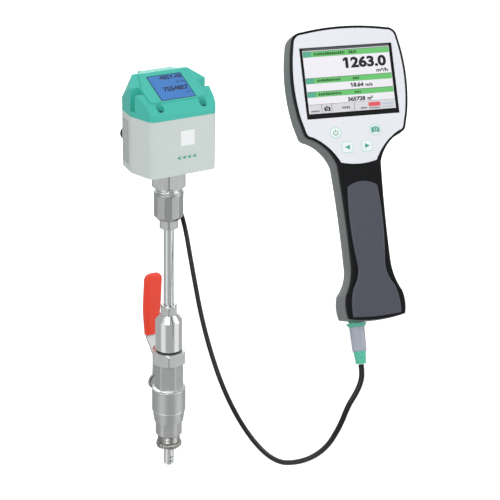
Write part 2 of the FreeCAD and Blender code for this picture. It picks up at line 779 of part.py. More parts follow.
def plan(inset):
    """Six-sided plan of the head, with a soft kink halfway along each side, drawn in by an inset."""
    side = "housing_width / 2 - (%s)" % inset
    bulge = "housing_width / 2 + side_bulge - (%s)" % inset
    deep = "housing_depth / 2 - (%s)" % inset
    return [("-(%s)" % side, "-(%s)" % deep), (side, "-(%s)" % deep), (bulge, "0"),
            (side, deep), ("-(%s)" % side, deep), ("-(%s)" % bulge, "0")]


def soften_plan(body, inset=0.0):
    """Rounds the four corners and the two side kinks of a padded plan."""
    kink = value("housing_width / 2 + side_bulge") - inset
    round_edges(body, "corner_radius - %s" % (inset * 0.8),
                lambda edge: upright(edge) and abs(abs(edge.BoundBox.XMin) - kink) > 0.5)
    round_edges(body, "kink_radius",
                lambda edge: upright(edge) and abs(abs(edge.BoundBox.XMin) - kink) < 0.5)


SCREWS = [("screw_x", "-screw_y"), ("screw_x", "screw_y"),
          ("-screw_x", "screw_y"), ("-screw_x", "-screw_y")]
SOCKETS = [("connector_x", "connector_z"), ("-connector_x", "connector_z")]


def make_housing():
    """Moulded lower half of the head, with a floor, four screw pillars and a rebate for the gasket."""
    body = new_body("sensor_housing")
    pad(body, plan("0"), "housing_height", "XY_Plane", lift("housing_foot"))
    soften_plan(body)
    pocket(body, plan("wall"), "housing_height - floor_thickness", "XY_Plane", lift("housing_top"))
    posts(body, SCREWS, "pillar_radius", "housing_height - gasket_thickness - 1", "XY_Plane",
          lift("housing_foot + 1"))
    pocket(body, plan("gasket_inset"), "gasket_thickness", "XY_Plane", lift("housing_top"))
    bore(body, SCREWS, "screw_radius + screw_gap", "screw_length", "XY_Plane", lift("housing_top"))
    bore(body, [("0", "0")], "neck_thread + thread_gap", "2 * floor_thickness", "XY_Plane",
         lift("housing_foot + 1.5 * floor_thickness"))
    bore(body, SOCKETS, "connector_thread + fit_gap", "connector_inner + 2", "XZ_Plane",
         lift("-(rear_y - connector_inner - 0.5)"))
    posts_centres = [("board_width / 2 - 4", "0"), ("4 - board_width / 2", "0")]
    posts(body, posts_centres, "post_radius", "post_height", "XY_Plane",
          lift("housing_foot + floor_thickness - 0.5"))


def make_gasket():
    """Flat gasket in the rebate between housing and lid."""
    body = new_body("lid_gasket")
    sketch = new_sketch(body, "XY_Plane", lift("housing_top - gasket_thickness"))
    draw_outline(sketch, plan("gasket_inset + thread_gap"))
    draw_outline(sketch, plan("wall"))
    feature(body, "Pad", sketch, Length="gasket_thickness")


LID_FRAME = "placement(vector(0; front_y; housing_top + lid_skirt); rotation(vector(1; 0; 0); lid_slope))"
SLOPE_FRAME = LID_FRAME + " * placement(vector(0; 0; panel_rise); rotation(0; 0; 0))"


def lid_profile(inset):
    """Side view of the lid from its low front lip, up the slope and over the plateau, to the steep back."""
    drop = "(%s) / cos(lid_slope)" % inset
    slope = "housing_top + lid_skirt + (%s) * tan(lid_slope) - " + drop
    facet = "front_facet + 0.3 * (%s)" % inset
    return [
        ("front_y + (%s)" % inset, "housing_top + lid_lip - 0.1 * (%s)" % inset),
        ("front_y + " + facet, slope % facet),
        ("ridge_y", "ridge_top - " + drop),
        ("ridge_y + plateau_depth - 3 * (%s)" % inset, "ridge_top - " + drop),
        ("rear_y - (%s)" % inset, "housing_top + rear_skirt - 3 * (%s)" % inset)]


def shave(body, corner, yaw, tilt, low, high):
    """Cuts away everything outside a slanted plane through a corner point, between two marks across it."""
    place = "placement(vector(%s; %s; %s); rotation(%s; %s; 0))" % (corner + (yaw, tilt))
    pocket(body, rectangle("-60", low, "80", high), "60", "XY_Plane", place, Reversed=True)


def make_lid():
    """Hood with a raised display panel on its slope, side notches, cut corners and sunk screw seats."""
    body = new_body("housing_lid")
    pad(body, plan("0"), "ridge_top - housing_top", "XY_Plane", lift("housing_top"))
    soften_plan(body)
    slope = lid_profile("0")
    over = "ridge_top + 10"
    pocket(body, [("front_y - 5", slope[0][1])] + slope + [("rear_y + 5", slope[4][1]),
           ("rear_y + 5", over), ("front_y - 5", over)],
           "3 * housing_width", "YZ_Plane", Midplane=True)
    for side, turn, near, far in (("", "%s", "-60", "back_run"), ("-", "180 - %s", "-back_run", "60")):
        shave(body, (side + "side_x", "ridge_y + 0.4", "ridge_top"), turn % "side_yaw", "side_tilt", "-60", "60")
        shave(body, (side + "back_x", "back_y", "ridge_top"), turn % "back_yaw", "back_tilt", near, far)
        outer = side + "(housing_width / 2 + side_bulge + 5)"
        for wall, front, floor in (("notch_wall", "notch_front", "notch_floor"),
                                   ("slot_wall", "slot_front", "slot_floor")):
            pocket(body, rectangle(side + wall, "-" + front, outer, "notch_rear"), "60", "XY_Plane",
                   lift("housing_top + " + floor), Reversed=True)
    pad(body, [("-panel_top_half", "49.5"), ("-panel_half", "28"), ("-panel_half", "13"), ("3 - panel_half", "10"),
               ("panel_half - 3", "10"), ("panel_half", "13"), ("panel_half", "28"), ("panel_top_half", "49.5")],
        "panel_rise + 0.5", "XY_Plane", LID_FRAME + " * placement(vector(0; 0; -0.5); rotation(0; 0; 0))")
    cavity = lid_profile("wall")
    pocket(body, [("front_y + wall", "housing_top - 1")] + cavity + [("rear_y - wall", "housing_top - 1")],
           "2 * cavity_half", "YZ_Plane", Midplane=True)
    recess = rectangle("-window_half - fit_gap", "window_start - fit_gap", "window_half + fit_gap",
                       "window_start + window_length + fit_gap")
    pocket(body, recess, "window_recess", "XY_Plane", SLOPE_FRAME)
    pocket(body, rectangle("lcd_margin - window_half", "window_start + lcd_margin",
                           "window_half - lcd_margin", "window_start + window_length - lcd_margin"),
           "4 * wall", "XY_Plane", SLOPE_FRAME)
    posts(body, SCREWS, "pillar_radius + 0.6", "lid_seat", "XY_Plane", lift("housing_top"))
    bore(body, SCREWS, "head_pocket", "60", "XY_Plane", lift("housing_top + lid_seat"), Reversed=True)
    bore(body, SCREWS, "screw_radius + screw_gap", "2 * lid_seat", "XY_Plane",
         lift("housing_top + 1.5 * lid_seat"))


def make_lid_screws():
    """Four socket-head screws through the lid into the pillars."""
    for number, (x, y) in enumerate(SCREWS, start=1):
        place = "placement(vector(%s; %s; housing_top + lid_seat); rotation(0; 0; 0))" % (x, y)
        body = turned("lid_screw_%d" % number, [
            ("0", "2 - screw_length - gasket_thickness"), ("screw_radius", "2 - screw_length - gasket_thickness"),
            ("screw_radius", "0"), ("head_radius", "0"), ("head_radius", "head_height - 0.4"),
            ("head_radius - 0.4", "head_height"), ("0", "head_height")], place)
        pocket(body, polygon(6, "1.5", 0), "1.8", "XY_Plane", lift("head_height"))


def make_display():
    """Window in the lid, the display module behind it and the circuit board."""
    window = new_body("lcd_window", SLOPE_FRAME)
    pad(window, rectangle("-window_half", "window_start", "window_half", "window_start + window_length"),
        "window_thickness", "XY_Plane", lift("-window_recess"))
    module = new_body("lcd_module", SLOPE_FRAME)
    margin = "lcd_margin + fit_gap"
    pad(module, rectangle("%s - window_half" % margin, "window_start + " + margin,
                          "window_half - (%s)" % margin, "window_start + window_length - (%s)" % margin),
        "lcd_thickness", "XY_Plane", lift("-window_recess - lcd_thickness"))
    board = new_body("sensor_board")
    half = "board_width / 2"
    deep = "board_depth / 2"
    pad(board, rectangle("-" + half, "-" + deep, half, deep), "board_thickness", "XY_Plane",
        lift("housing_foot + floor_thickness - 0.5 + post_height"))


def make_connector(label, x):
    """Threaded round connector in the back wall, with five pins in its mouth."""
    place = "placement(vector(%s; rear_y; connector_z); rotation(vector(1; 0; 0); -90))" % x
    reach = "flange_thickness + connector_reach"
    body = turned(label, [
        ("0", "-connector_inner"), ("connector_thread", "-connector_inner"),
        ("connector_thread", "0"), ("flange_radius", "0"), ("flange_radius", "flange_thickness"),
        ("connector_thread", "flange_thickness"), ("connector_thread", reach),
        ("connector_bore", reach), ("connector_bore", "flange_thickness"),
        ("0", "flange_thickness")], place)
    ring = [("%.4f" % (2.2 * math.cos(a)), "%.4f" % (2.2 * math.sin(a)))
            for a in (math.radians(45 + 90 * i) for i in range(4))]
    posts(body, ring, "0.5", "connector_reach - 3", "XY_Plane", lift("flange_thickness - 0.2"))
    return body


def make_back_fittings():
    """Dust cap on the left connector and the angled plug on the right one."""
    make_connector("connector_left", "-connector_x")
    make_connector("connector_right", "connector_x")
    back = "placement(vector(%s; rear_y + flange_thickness; connector_z); rotation(vector(1; 0; 0); -90))"
    mouth = "connector_thread + thread_gap"
    turned("dust_cap", [
        (mouth, "0"), ("cap_radius", "0"), ("cap_radius", "cap_length - 1"),
        ("cap_radius - 1", "cap_length"), ("0", "cap_length"), ("0", "connector_reach + 0.2"),
        (mouth, "connector_reach + 0.2")], back % "-connector_x")
    turned("plug_nut", [
        (mouth, "0.2"), ("plug_nut_radius - 0.5", "0.2"), ("plug_nut_radius", "0.7"),
        ("plug_nut_radius", "plug_nut_length"), (mouth, "plug_nut_length")], back % "connector_x")
    plug = new_body("angled_plug", "placement(vector(connector_x; rear_y; connector_z); rotation(0; 0; 0))")
    front = "flange_thickness + connector_reach + 0.1"
    sketch = new_sketch(plug, "XZ_Plane", lift("-(%s)" % front))
    draw_circle(sketch, ("0", "0"), "elbow_radius")
    feature(plug, "Pad", sketch, Length="elbow_centre + elbow_radius - (%s) - 1" % front, Reversed=True)
    leg = new_sketch(plug, "YZ_Plane")
    draw_outline(leg, [
        ("elbow_centre", "elbow_radius - 0.8"), ("elbow_centre + elbow_radius - 0.8", "elbow_radius - 1.6"),
        ("elbow_centre + elbow_radius - 0.3", "-elbow_radius"),
        ("elbow_centre + elbow_foot_radius", "-elbow_drop"), ("elbow_centre", "-elbow_drop")])
    axis = leg.addGeometry(Part.LineSegment(spot(("elbow_centre", "0")), spot(("elbow_centre", "10"))), True)
    pin_point(leg, axis, 1, ("elbow_centre", "0"))
    pin_point(leg, axis, 2, ("elbow_centre", "10"))
    feature(plug, "Revolution", leg, ReferenceAxis=(leg, ["Axis0"]), Angle=360.0)


HELD_FRAME = "placement(vector(hold_x; hold_y; hold_z); rotation(hold_yaw; hold_pitch; hold_roll))"

# Right half of the case's outline: place, outward direction, and whether it lies on a curve
CASE_HEAD = [
    ("36.5", "head_top - 3.2", 0.25, 0.97, False),
    ("head_half - 6.4", "head_top - 5.7", 0.7, 0.7, True),
    ("head_half - 3.8", "head_top - 10.9", 0.97, 0.25, False),
    ("head_half", "2", 1.0, 0.0, True),
    ("head_half - 2.7", "-30", 0.98, -0.17, False),
    ("head_half - 5.6", "-41", 0.95, -0.3, False),
    ("head_half - 7.4", "-44.7", 0.72, -0.7, True),
    ("head_half - 11", "-46.6", 0.6, -0.8, False),
]
CASE_NECK = [
    ("25.8", "-55.7", 0.75, -0.66, True),
    ("18.6", "-69", 0.95, -0.3, False),
]
FOIL_NECK = [
    ("25.8", "-55.7", 0.75, -0.66, True),
    ("17.1", "1.7 - foil_foot", 0.95, -0.2, False),
]
CASE_HANDLE = [
    ("grip_half + 0.6", "-95", 1.0, -0.02, True),
    ("grip_half", "46 - body_foot", 1.0, 0.0, False),
    ("grip_half + 2", "33 - body_foot", 0.96, 0.28, True),
]
CASE_BUTT = [
    ("butt_half - 1.6", "22 - body_foot", 0.97, 0.2, False),
    ("butt_half", "11 - body_foot", 1.0, 0.0, True),
    ("butt_half - 1.2", "2.7 - body_foot", 0.8, -0.6, False),
]
GRIP_PAD = [
    ("pad_waist + 0.7", "-4 - pad_top", 0.9, 0.4, False),
    ("pad_waist + 2", "-118", 1.0, 0.0, True),
    ("pad_waist", "45.6 - pad_foot", 1.0, 0.0, False),
    ("pad_waist + 0.9", "33 - pad_foot", 0.96, 0.28, True),
    ("pad_flare - 3", "24.4 - pad_foot", 0.9, 0.4, False),
    ("pad_flare - 0.5", "15 - pad_foot", 0.97, 0.2, True),
    ("pad_flare", "1.2 - pad_foot", 0.9, -0.4, False),
]


def grown(point, grow, side):
    """One outline point moved outward by the grow formula, on the right or left side."""
    x, y, dx, dy, curved = point
    across = "(%s) + (%s) * %s" % (x, grow, dx)
    along = "(%s) + (%s) * (%s)" % (y, grow, dy)
    pair = (across, along) if side > 0 else ("-(%s)" % across, along)
    return pair + ("arc",) if curved else pair


def both_sides(points, grow, top, foot):
    """Closed path from a right half, its mirror image, a top point and a foot point on the curve."""
    right = [grown(point, grow, 1) for point in points]
    left = [grown(point, grow, -1) for point in reversed(points)]
    return [("0", "(%s) + (%s)" % (top, grow), "arc")] + right \
        + [("0", "-(%s) - (%s)" % (foot, grow), "arc")] + left


def case_path(grow, flare="0"):
    """Whole outline of the hand-held case, with its butt widened by the flare formula."""
    butt = [("%s + %s" % (point[0], flare),) + point[1:] for point in CASE_BUTT]
    return both_sides(CASE_HEAD + CASE_NECK + CASE_HANDLE + butt, grow, "head_top", "body_foot")


def foil_path(gap):
    """Outline of the front foil on the head, drawn in by a gap."""
    grow = "-bezel - (%s)" % gap
    return both_sides(CASE_HEAD + FOIL_NECK, grow, "head_top", "foil_foot + bezel")


def pad_path(grow):
    """Outline of the raised pad on the front of the handle."""
    return both_sides(GRIP_PAD, grow, "-pad_top", "pad_foot")


def outline_loft(body, kind, sections):
    """Ruled loft through closed paths, each at its own depth."""
    rings = []
    for path, depth in sections:
        sketch = new_sketch(body, "XY_Plane", lift("-(%s)" % depth))
        draw_outline(sketch, path)
        rings.append(sketch)
    doc.recompute()
    before = body.Shape.Volume if kind == "SubtractiveLoft" else 0
    made = body.newObject("PartDesign::" + kind, body.Label + "_" + kind.lower())
    made.Profile = rings[0]
    made.Sections = rings[1:]
    made.Ruled = True
    doc.recompute()
    if kind == "SubtractiveLoft" and body.Shape.Volume >= before:
        raise RuntimeError(body.Label + ": the hollow takes nothing away")


CASE_SCREWS = [("boss_x", "boss_high"), ("-boss_x", "boss_high"),
               ("boss_x", "-boss_low"), ("-boss_x", "-boss_low")]


def make_front_shell():
    """Front half of the case: a tray with the rim round the foil and the window for the screen."""
    body = new_body("front_shell", HELD_FRAME)
    outline_loft(body, "AdditiveLoft", [
        (case_path("0"), "front_depth"), (case_path("0"), "rim_chamfer"), (case_path("-rim_chamfer"), "0")])
    pocket(body, foil_path("0"), "foil_thickness", "XY_Plane")
    pocket(body, pad_path("foil_gap"), "pad_seat", "XY_Plane")
    pocket(body, case_path("-shell_wall"), "front_depth - front_wall", "XY_Plane", lift("-front_depth"),
           Reversed=True)
    pocket(body, rectangle("-glass_half", "-glass_low", "glass_half", "glass_high"),
           "2 * front_depth", "XY_Plane")


def make_grip_pad():
    """Raised pad let into the front of the handle, with a chamfered edge."""
    body = new_body("grip_pad", HELD_FRAME)
    outline_loft(body, "AdditiveLoft", [
        (pad_path("0"), "pad_seat"), (pad_path("0"), "pad_chamfer - pad_rise"),
        (pad_path("-pad_chamfer"), "-pad_rise")])


def make_rear_shell():
    """Deep rear half of the case with its wider butt and the bosses for the board."""
    body = new_body("rear_shell", HELD_FRAME)
    outline_loft(body, "AdditiveLoft", [
        (case_path("0"), "front_depth"), (case_path("0.8 * belly_swell", "butt_flare"), "belly_depth / 2"),
        (case_path("belly_swell", "butt_flare"), "belly_depth"),
        (case_path("0.4 * belly_swell", "butt_flare"), "body_depth - 9"),
        (case_path("-back_inset / 4", "0.7 * butt_flare"), "body_depth - 4"), (case_path("-back_inset"), "body_depth")])
    outline_loft(body, "SubtractiveLoft", [
        (case_path("-shell_wall"), "front_depth - 1"), (case_path("-shell_wall"), "front_depth + 1"),
        (case_path("belly_swell - shell_wall"), "belly_depth"),
        (case_path("0.4 * belly_swell - shell_wall"), "body_depth - 10"),
        (case_path("-back_inset - shell_wall / 2"), "body_depth - shell_wall")])
    posts(body, CASE_SCREWS, "boss_size", "body_depth - circuit_depth - circuit_thickness - shell_wall / 2",
          "XY_Plane", lift("-(body_depth - shell_wall / 2)"))
    bore(body, CASE_SCREWS, "case_screw_radius + screw_gap", "60", "XY_Plane", lift("-body_depth - 1"),
         Reversed=True)
    bore(body, CASE_SCREWS, "case_screw_head + screw_gap", "5", "XY_Plane", lift("-body_depth - 1"),
         Reversed=True)
    bore(body, [("inlet_x", "-inlet_depth")], "inlet_radius + fit_gap", "inlet_length + 6", "XZ_Plane",
         lift("body_foot - inlet_length"), Reversed=True)


def make_screen():
    """Front foil with its key fields, screen glass, display panel and main board."""
    foil = new_body("front_foil", HELD_FRAME)
    pad(foil, foil_path("foil_gap"), "foil_thickness", "XY_Plane", lift("-foil_thickness"))
    edge = "glass_half + foil_gap"
    pocket(foil, rectangle("-(%s)" % edge, "-glass_low - foil_gap", edge, "glass_high + foil_gap"),
           "4 * foil_thickness", "XY_Plane", lift("foil_thickness"))
    gap = "foil_gap"
    glass = new_body("screen_glass", HELD_FRAME)
    pad(glass, rectangle(gap + " - glass_half", gap + " - glass_low", "glass_half - " + gap, "glass_high - " + gap),
        "glass_thickness", "XY_Plane", lift("-glass_thickness - 0.2"))
    panel = new_body("display_panel", HELD_FRAME)
    half = "glass_half + panel_margin"
    pad(panel, rectangle("-(%s)" % half, "-glass_low - panel_margin", half, "glass_high + panel_margin"),
        "panel_thickness", "XY_Plane", lift("-front_wall - foil_thickness - panel_thickness"))
    board = new_body("main_board", HELD_FRAME)
    pad(board, rectangle("-circuit_width / 2", "-circuit_low", "circuit_width / 2", "circuit_high"),
        "circuit_thickness", "XY_Plane", lift("-circuit_depth - circuit_thickness"))
    bore(board, CASE_SCREWS, "case_screw_radius + screw_gap", "4 * circuit_thickness", "XY_Plane",
         lift("-circuit_depth + circuit_thickness"))


def make_battery():
    """Sealed battery pack in the handle."""
    body = new_body("battery_pack", HELD_FRAME)
    half = "pack_width / 2"
    pad(body, rectangle("-" + half, "-pack_top - pack_length", half, "-pack_top"), "pack_thickness",
        "XY_Plane", lift("-(body_depth - shell_wall) + fit_gap"))
    round_edges(body, "3", lambda edge: isinstance(edge.Curve, Part.Line) and edge.BoundBox.YLength > 5)


def make_case_screws():
    """Four screws that enter from the back and hold the board on its bosses."""
    for number, (x, y) in enumerate(CASE_SCREWS, start=1):
        body = new_body("case_screw_%d" % number, HELD_FRAME)
        posts(body, [(x, y)], "case_screw_radius", "body_depth - circuit_depth + 1.5", "XY_Plane",
              lift("-body_depth + 3"))
        posts(body, [(x, y)], "case_screw_head", "2.5", "XY_Plane", lift("-body_depth + 1.5"))


def make_handheld_plug():
    """Inlet in the foot of the case, and the plug's ring, sleeve and strain relief below it."""
    down = (HELD_FRAME
            + " * placement(vector(inlet_x; -body_foot - belly_swell - fit_gap; -inlet_depth); rotation(vector(1; 0; 0); 90))")
    turned("case_inlet", rectangle("inlet_radius - 2", "-inlet_length", "inlet_radius", "0"), down)
    turned("plug_ring", [
        ("0", "0.1"), ("ring_radius", "0.1"), ("ring_foot_radius", "ring_length"),
        ("0", "ring_length")], down)
    top = "ring_length"
    foot = "ring_length + plug_sleeve_length"
    turned("plug_sleeve", [("0", top), ("sleeve_top_radius", top), ("sleeve_foot_radius", foot),
                           ("0", foot)], down)
    end = foot + " + relief_length"
    turned("strain_relief", [("0", foot), ("relief_radius", foot), ("relief_foot_radius", end),
                             ("0", end)], down)


# Route of the cable from the angled plug, under the hand-held display, up to its strain relief
CABLE_ROUTE = [
    (22, 46.5, 290), (22, 46.5, 276), (26, 35, 254), (21, 7, 239), (16, -17, 197), (12, -45, 144),
    (10, -83, 96), (6, -132, 71), (0, -185, 69), (-5, -231, 93), (-13, -274, 128), (-14.6, -294.2, 159.3),
    (-7, -294.6, 177.7), (0.5, -293.9, 185.5), (6.5, -292.3, 193.1), (9.6, -290, 200.1), (10.5, -286.8, 207),
]
ARC_SHARE = 0.45


def cable_path(points):
    """Wire of straight runs joined by tangent arcs, each as large as its two runs allow."""
    spots = [FreeCAD.Vector(*point) for point in points]
    edges = []
    start = spots[0]
    for before, corner, after in zip(spots, spots[1:], spots[2:]):
        back = (before - corner).normalize()
        ahead = (after - corner).normalize()
        turn = math.pi - back.getAngle(ahead)
        reach = ARC_SHARE * min((corner - before).Length, (after - corner).Length)
        radius = reach / math.tan(turn / 2)
        middle = (back + ahead).normalize()
        depth = radius / math.cos(turn / 2) - radius
        enter, leave = corner + back * reach, corner + ahead * reach
        edges.append(Part.LineSegment(start, enter).toShape())
        edges.append(Part.Arc(enter, corner + middle * depth, leave).toShape())
        start = leave
        print("cable radius %.1f mm at %s" % (radius, tuple(corner)))
    edges.append(Part.LineSegment(start, spots[-1]).toShape())
    return Part.Wire(edges)


def make_cable():
    """Round cable swept along its route."""
    path = cable_path(CABLE_ROUTE)
    start = FreeCAD.Vector(*CABLE_ROUTE[0])
    heading = FreeCAD.Vector(*CABLE_ROUTE[1]) - start
    radius = value("cable_radius")
    ring = Part.Wire(Part.Circle(start, heading, radius).toShape())
    cable = doc.addObject("Part::Feature", "cable_run")
    cable.Label = "cable_run"
    cable.Shape = path.makePipeShell([ring], True, False)
    wanted = math.pi * radius ** 2 * path.Length
    print("cable length %.1f mm, volume %.4f of section times length"
          % (path.Length, cable.Shape.Volume / wanted))


def write_parts():
    """Checks every object and writes one STEP file for each piece."""
    doc.recompute()
    for item in doc.Objects:
        if "Invalid" in item.State or "Error" in item.State:
            raise RuntimeError("%s is %s" % (item.Name, item.State))
    pieces = [item for item in doc.Objects if item.TypeId in ("PartDesign::Body", "Part::Feature")]
    groups = {}
    for piece in pieces:
        if piece.Shape.isNull() or not piece.Shape.isValid() or not piece.Shape.Solids:
            raise RuntimeError(piece.Label + " has no valid solid")
        groups.setdefault(GROUPS.get(piece.Label, piece.Label), []).append(piece.Shape)
    os.makedirs("parts", exist_ok=True)
    for node, shapes in groups.items():
        shape = shapes[0] if len(shapes) == 1 else Part.makeCompound(shapes)
        shape.exportStep("parts/%s.step" % node)
    print(len(groups), "nodes,", sum(len(shape.Solids) for shapes in groups.values() for shape in shapes), "solids")


# Like pieces that share one node
GROUPS = {"seat_upper": "ball_seats", "seat_lower": "ball_seats",
          "sensing_pin_left": "sensing_pins", "sensing_pin_right": "sensing_pins"}
GROUPS.update({"lid_screw_%d" % i: "lid_screws" for i in range(1, 5)})
GROUPS.update({"case_screw_%d" % i: "case_screws" for i in range(1, 5)})

fill_sheet()
make_nipple()
make_valve_end()
make_valve_body()
make_seats()
make_ball()
make_stem()
make_stem_seal()
make_lever()
make_fitting()
make_probe()
make_coupling()
make_housing()
make_gasket()
make_lid()
make_lid_screws()
make_display()
make_back_fittings()
make_front_shell()
make_grip_pad()
make_rear_shell()
make_screen()
make_battery()
make_case_screws()
make_handheld_plug()
make_cable()
write_parts()
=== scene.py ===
"""Portable flow meter: the visual model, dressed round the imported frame.

An insertion probe with a display head stands in a clamping fitting on a ball valve. A cable joins the
head to a hand-held display. Lengths in the classes are millimetres, and every mesh is made in metres in
the row frame.
"""

import logging
import math
import random
from dataclasses import dataclass
from enum import Enum
from typing import NamedTuple, Optional, Sequence

import bpy
from mathutils import Matrix, Vector


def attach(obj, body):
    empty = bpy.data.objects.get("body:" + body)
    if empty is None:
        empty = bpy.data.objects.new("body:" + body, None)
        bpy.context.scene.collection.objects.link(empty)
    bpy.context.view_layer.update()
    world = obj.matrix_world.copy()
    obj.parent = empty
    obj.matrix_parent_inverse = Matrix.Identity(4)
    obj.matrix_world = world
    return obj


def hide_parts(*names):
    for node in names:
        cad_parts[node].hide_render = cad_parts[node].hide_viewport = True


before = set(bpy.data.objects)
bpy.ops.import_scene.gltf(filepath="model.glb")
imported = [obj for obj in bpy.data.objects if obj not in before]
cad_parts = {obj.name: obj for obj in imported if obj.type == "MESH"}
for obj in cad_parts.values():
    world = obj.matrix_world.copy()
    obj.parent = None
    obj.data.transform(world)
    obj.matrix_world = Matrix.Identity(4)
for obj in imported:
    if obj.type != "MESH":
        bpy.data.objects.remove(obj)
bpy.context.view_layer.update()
MM = 0.001
LOG = logging.getLogger("flow_meter")

STRIP_BASE = 0.5
STRIP_EDGE, STRIP_CORE = 0.848, 0.97
STRIPS = (((-0.941, -0.214, 0.0), 0.5), ((0.652, -0.748, 0.0), 0.5), ((0.5, 0.86, 0.0), 0.25))

Point = tuple[float, float]
Ring = list[Vector]


class Band(NamedTuple):
    """A closed band between two outlines with the same number of points."""

    outer: Sequence[Point]
    inner: Sequence[Point]


class Lay(Enum):
    """How the marks of a metal finish run."""

    NONE = "none"
    TURNED = "turned"
    BRUSHED = "brushed"


def linear(red: int, green: int, blue: int) -> tuple[float, float, float, float]:
    """Turns a screen colour into the linear colour that a shader takes.

    Args:
        red: Red from 0 to 255.
        green: Green from 0 to 255.
        blue: Blue from 0 to 255.

    Returns:
        Linear red, green, blue and a full alpha.
    """
    def one(level: int) -> float:
        """Linear value of one channel."""
        share = level / 255
        return share / 12.92 if share <= 0.04045 else ((share + 0.055) / 1.055) ** 2.4

    return one(red), one(green), one(blue), 1.0


class NodeBench:
    """Adds nodes to a tree and joins their sockets."""

    def __init__(self, tree: bpy.types.NodeTree) -> None:
        """Keeps the tree that the nodes go into."""
        self.tree = tree

    def add(self, kind: str, **settings: object) -> bpy.types.Node:
        """Adds one node.

        Args:
            kind: The node's type name without its ShaderNode prefix.
            **settings: Attributes of the node, and default values of sockets whose names start with in_.

        Returns:
            The new node.
        """
        node = self.tree.nodes.new(kind if kind.startswith("Node") else "ShaderNode" + kind)
        for name, value in settings.items():
            if name.startswith("in_"):
                key = name[3:]
                node.inputs[int(key) if key.isdigit() else key.replace("_", " ")].default_value = value
            else:
                setattr(node, name, value)
        return node

    def join(self, start: bpy.types.NodeSocket, end: bpy.types.NodeSocket) -> None:
        """Joins an output to an input."""
        self.tree.links.new(start, end)

    def maths(self, operation: str, first: object, second: object = 0.0,
              third: object = 0.0) -> bpy.types.NodeSocket:
        """Adds a Math node.

        Args:
            operation: Name of the operation.
            first: Socket or number.
            second: Socket or number.
            third: Socket or number.

        Returns:
            The node's output.
        """
        node = self.add("Math", operation=operation)
        for place, given in enumerate((first, second, third)):
            if isinstance(given, bpy.types.NodeSocket):
                self.join(given, node.inputs[place])
            else:
                node.inputs[place].default_value = float(given)
        return node.outputs[0]


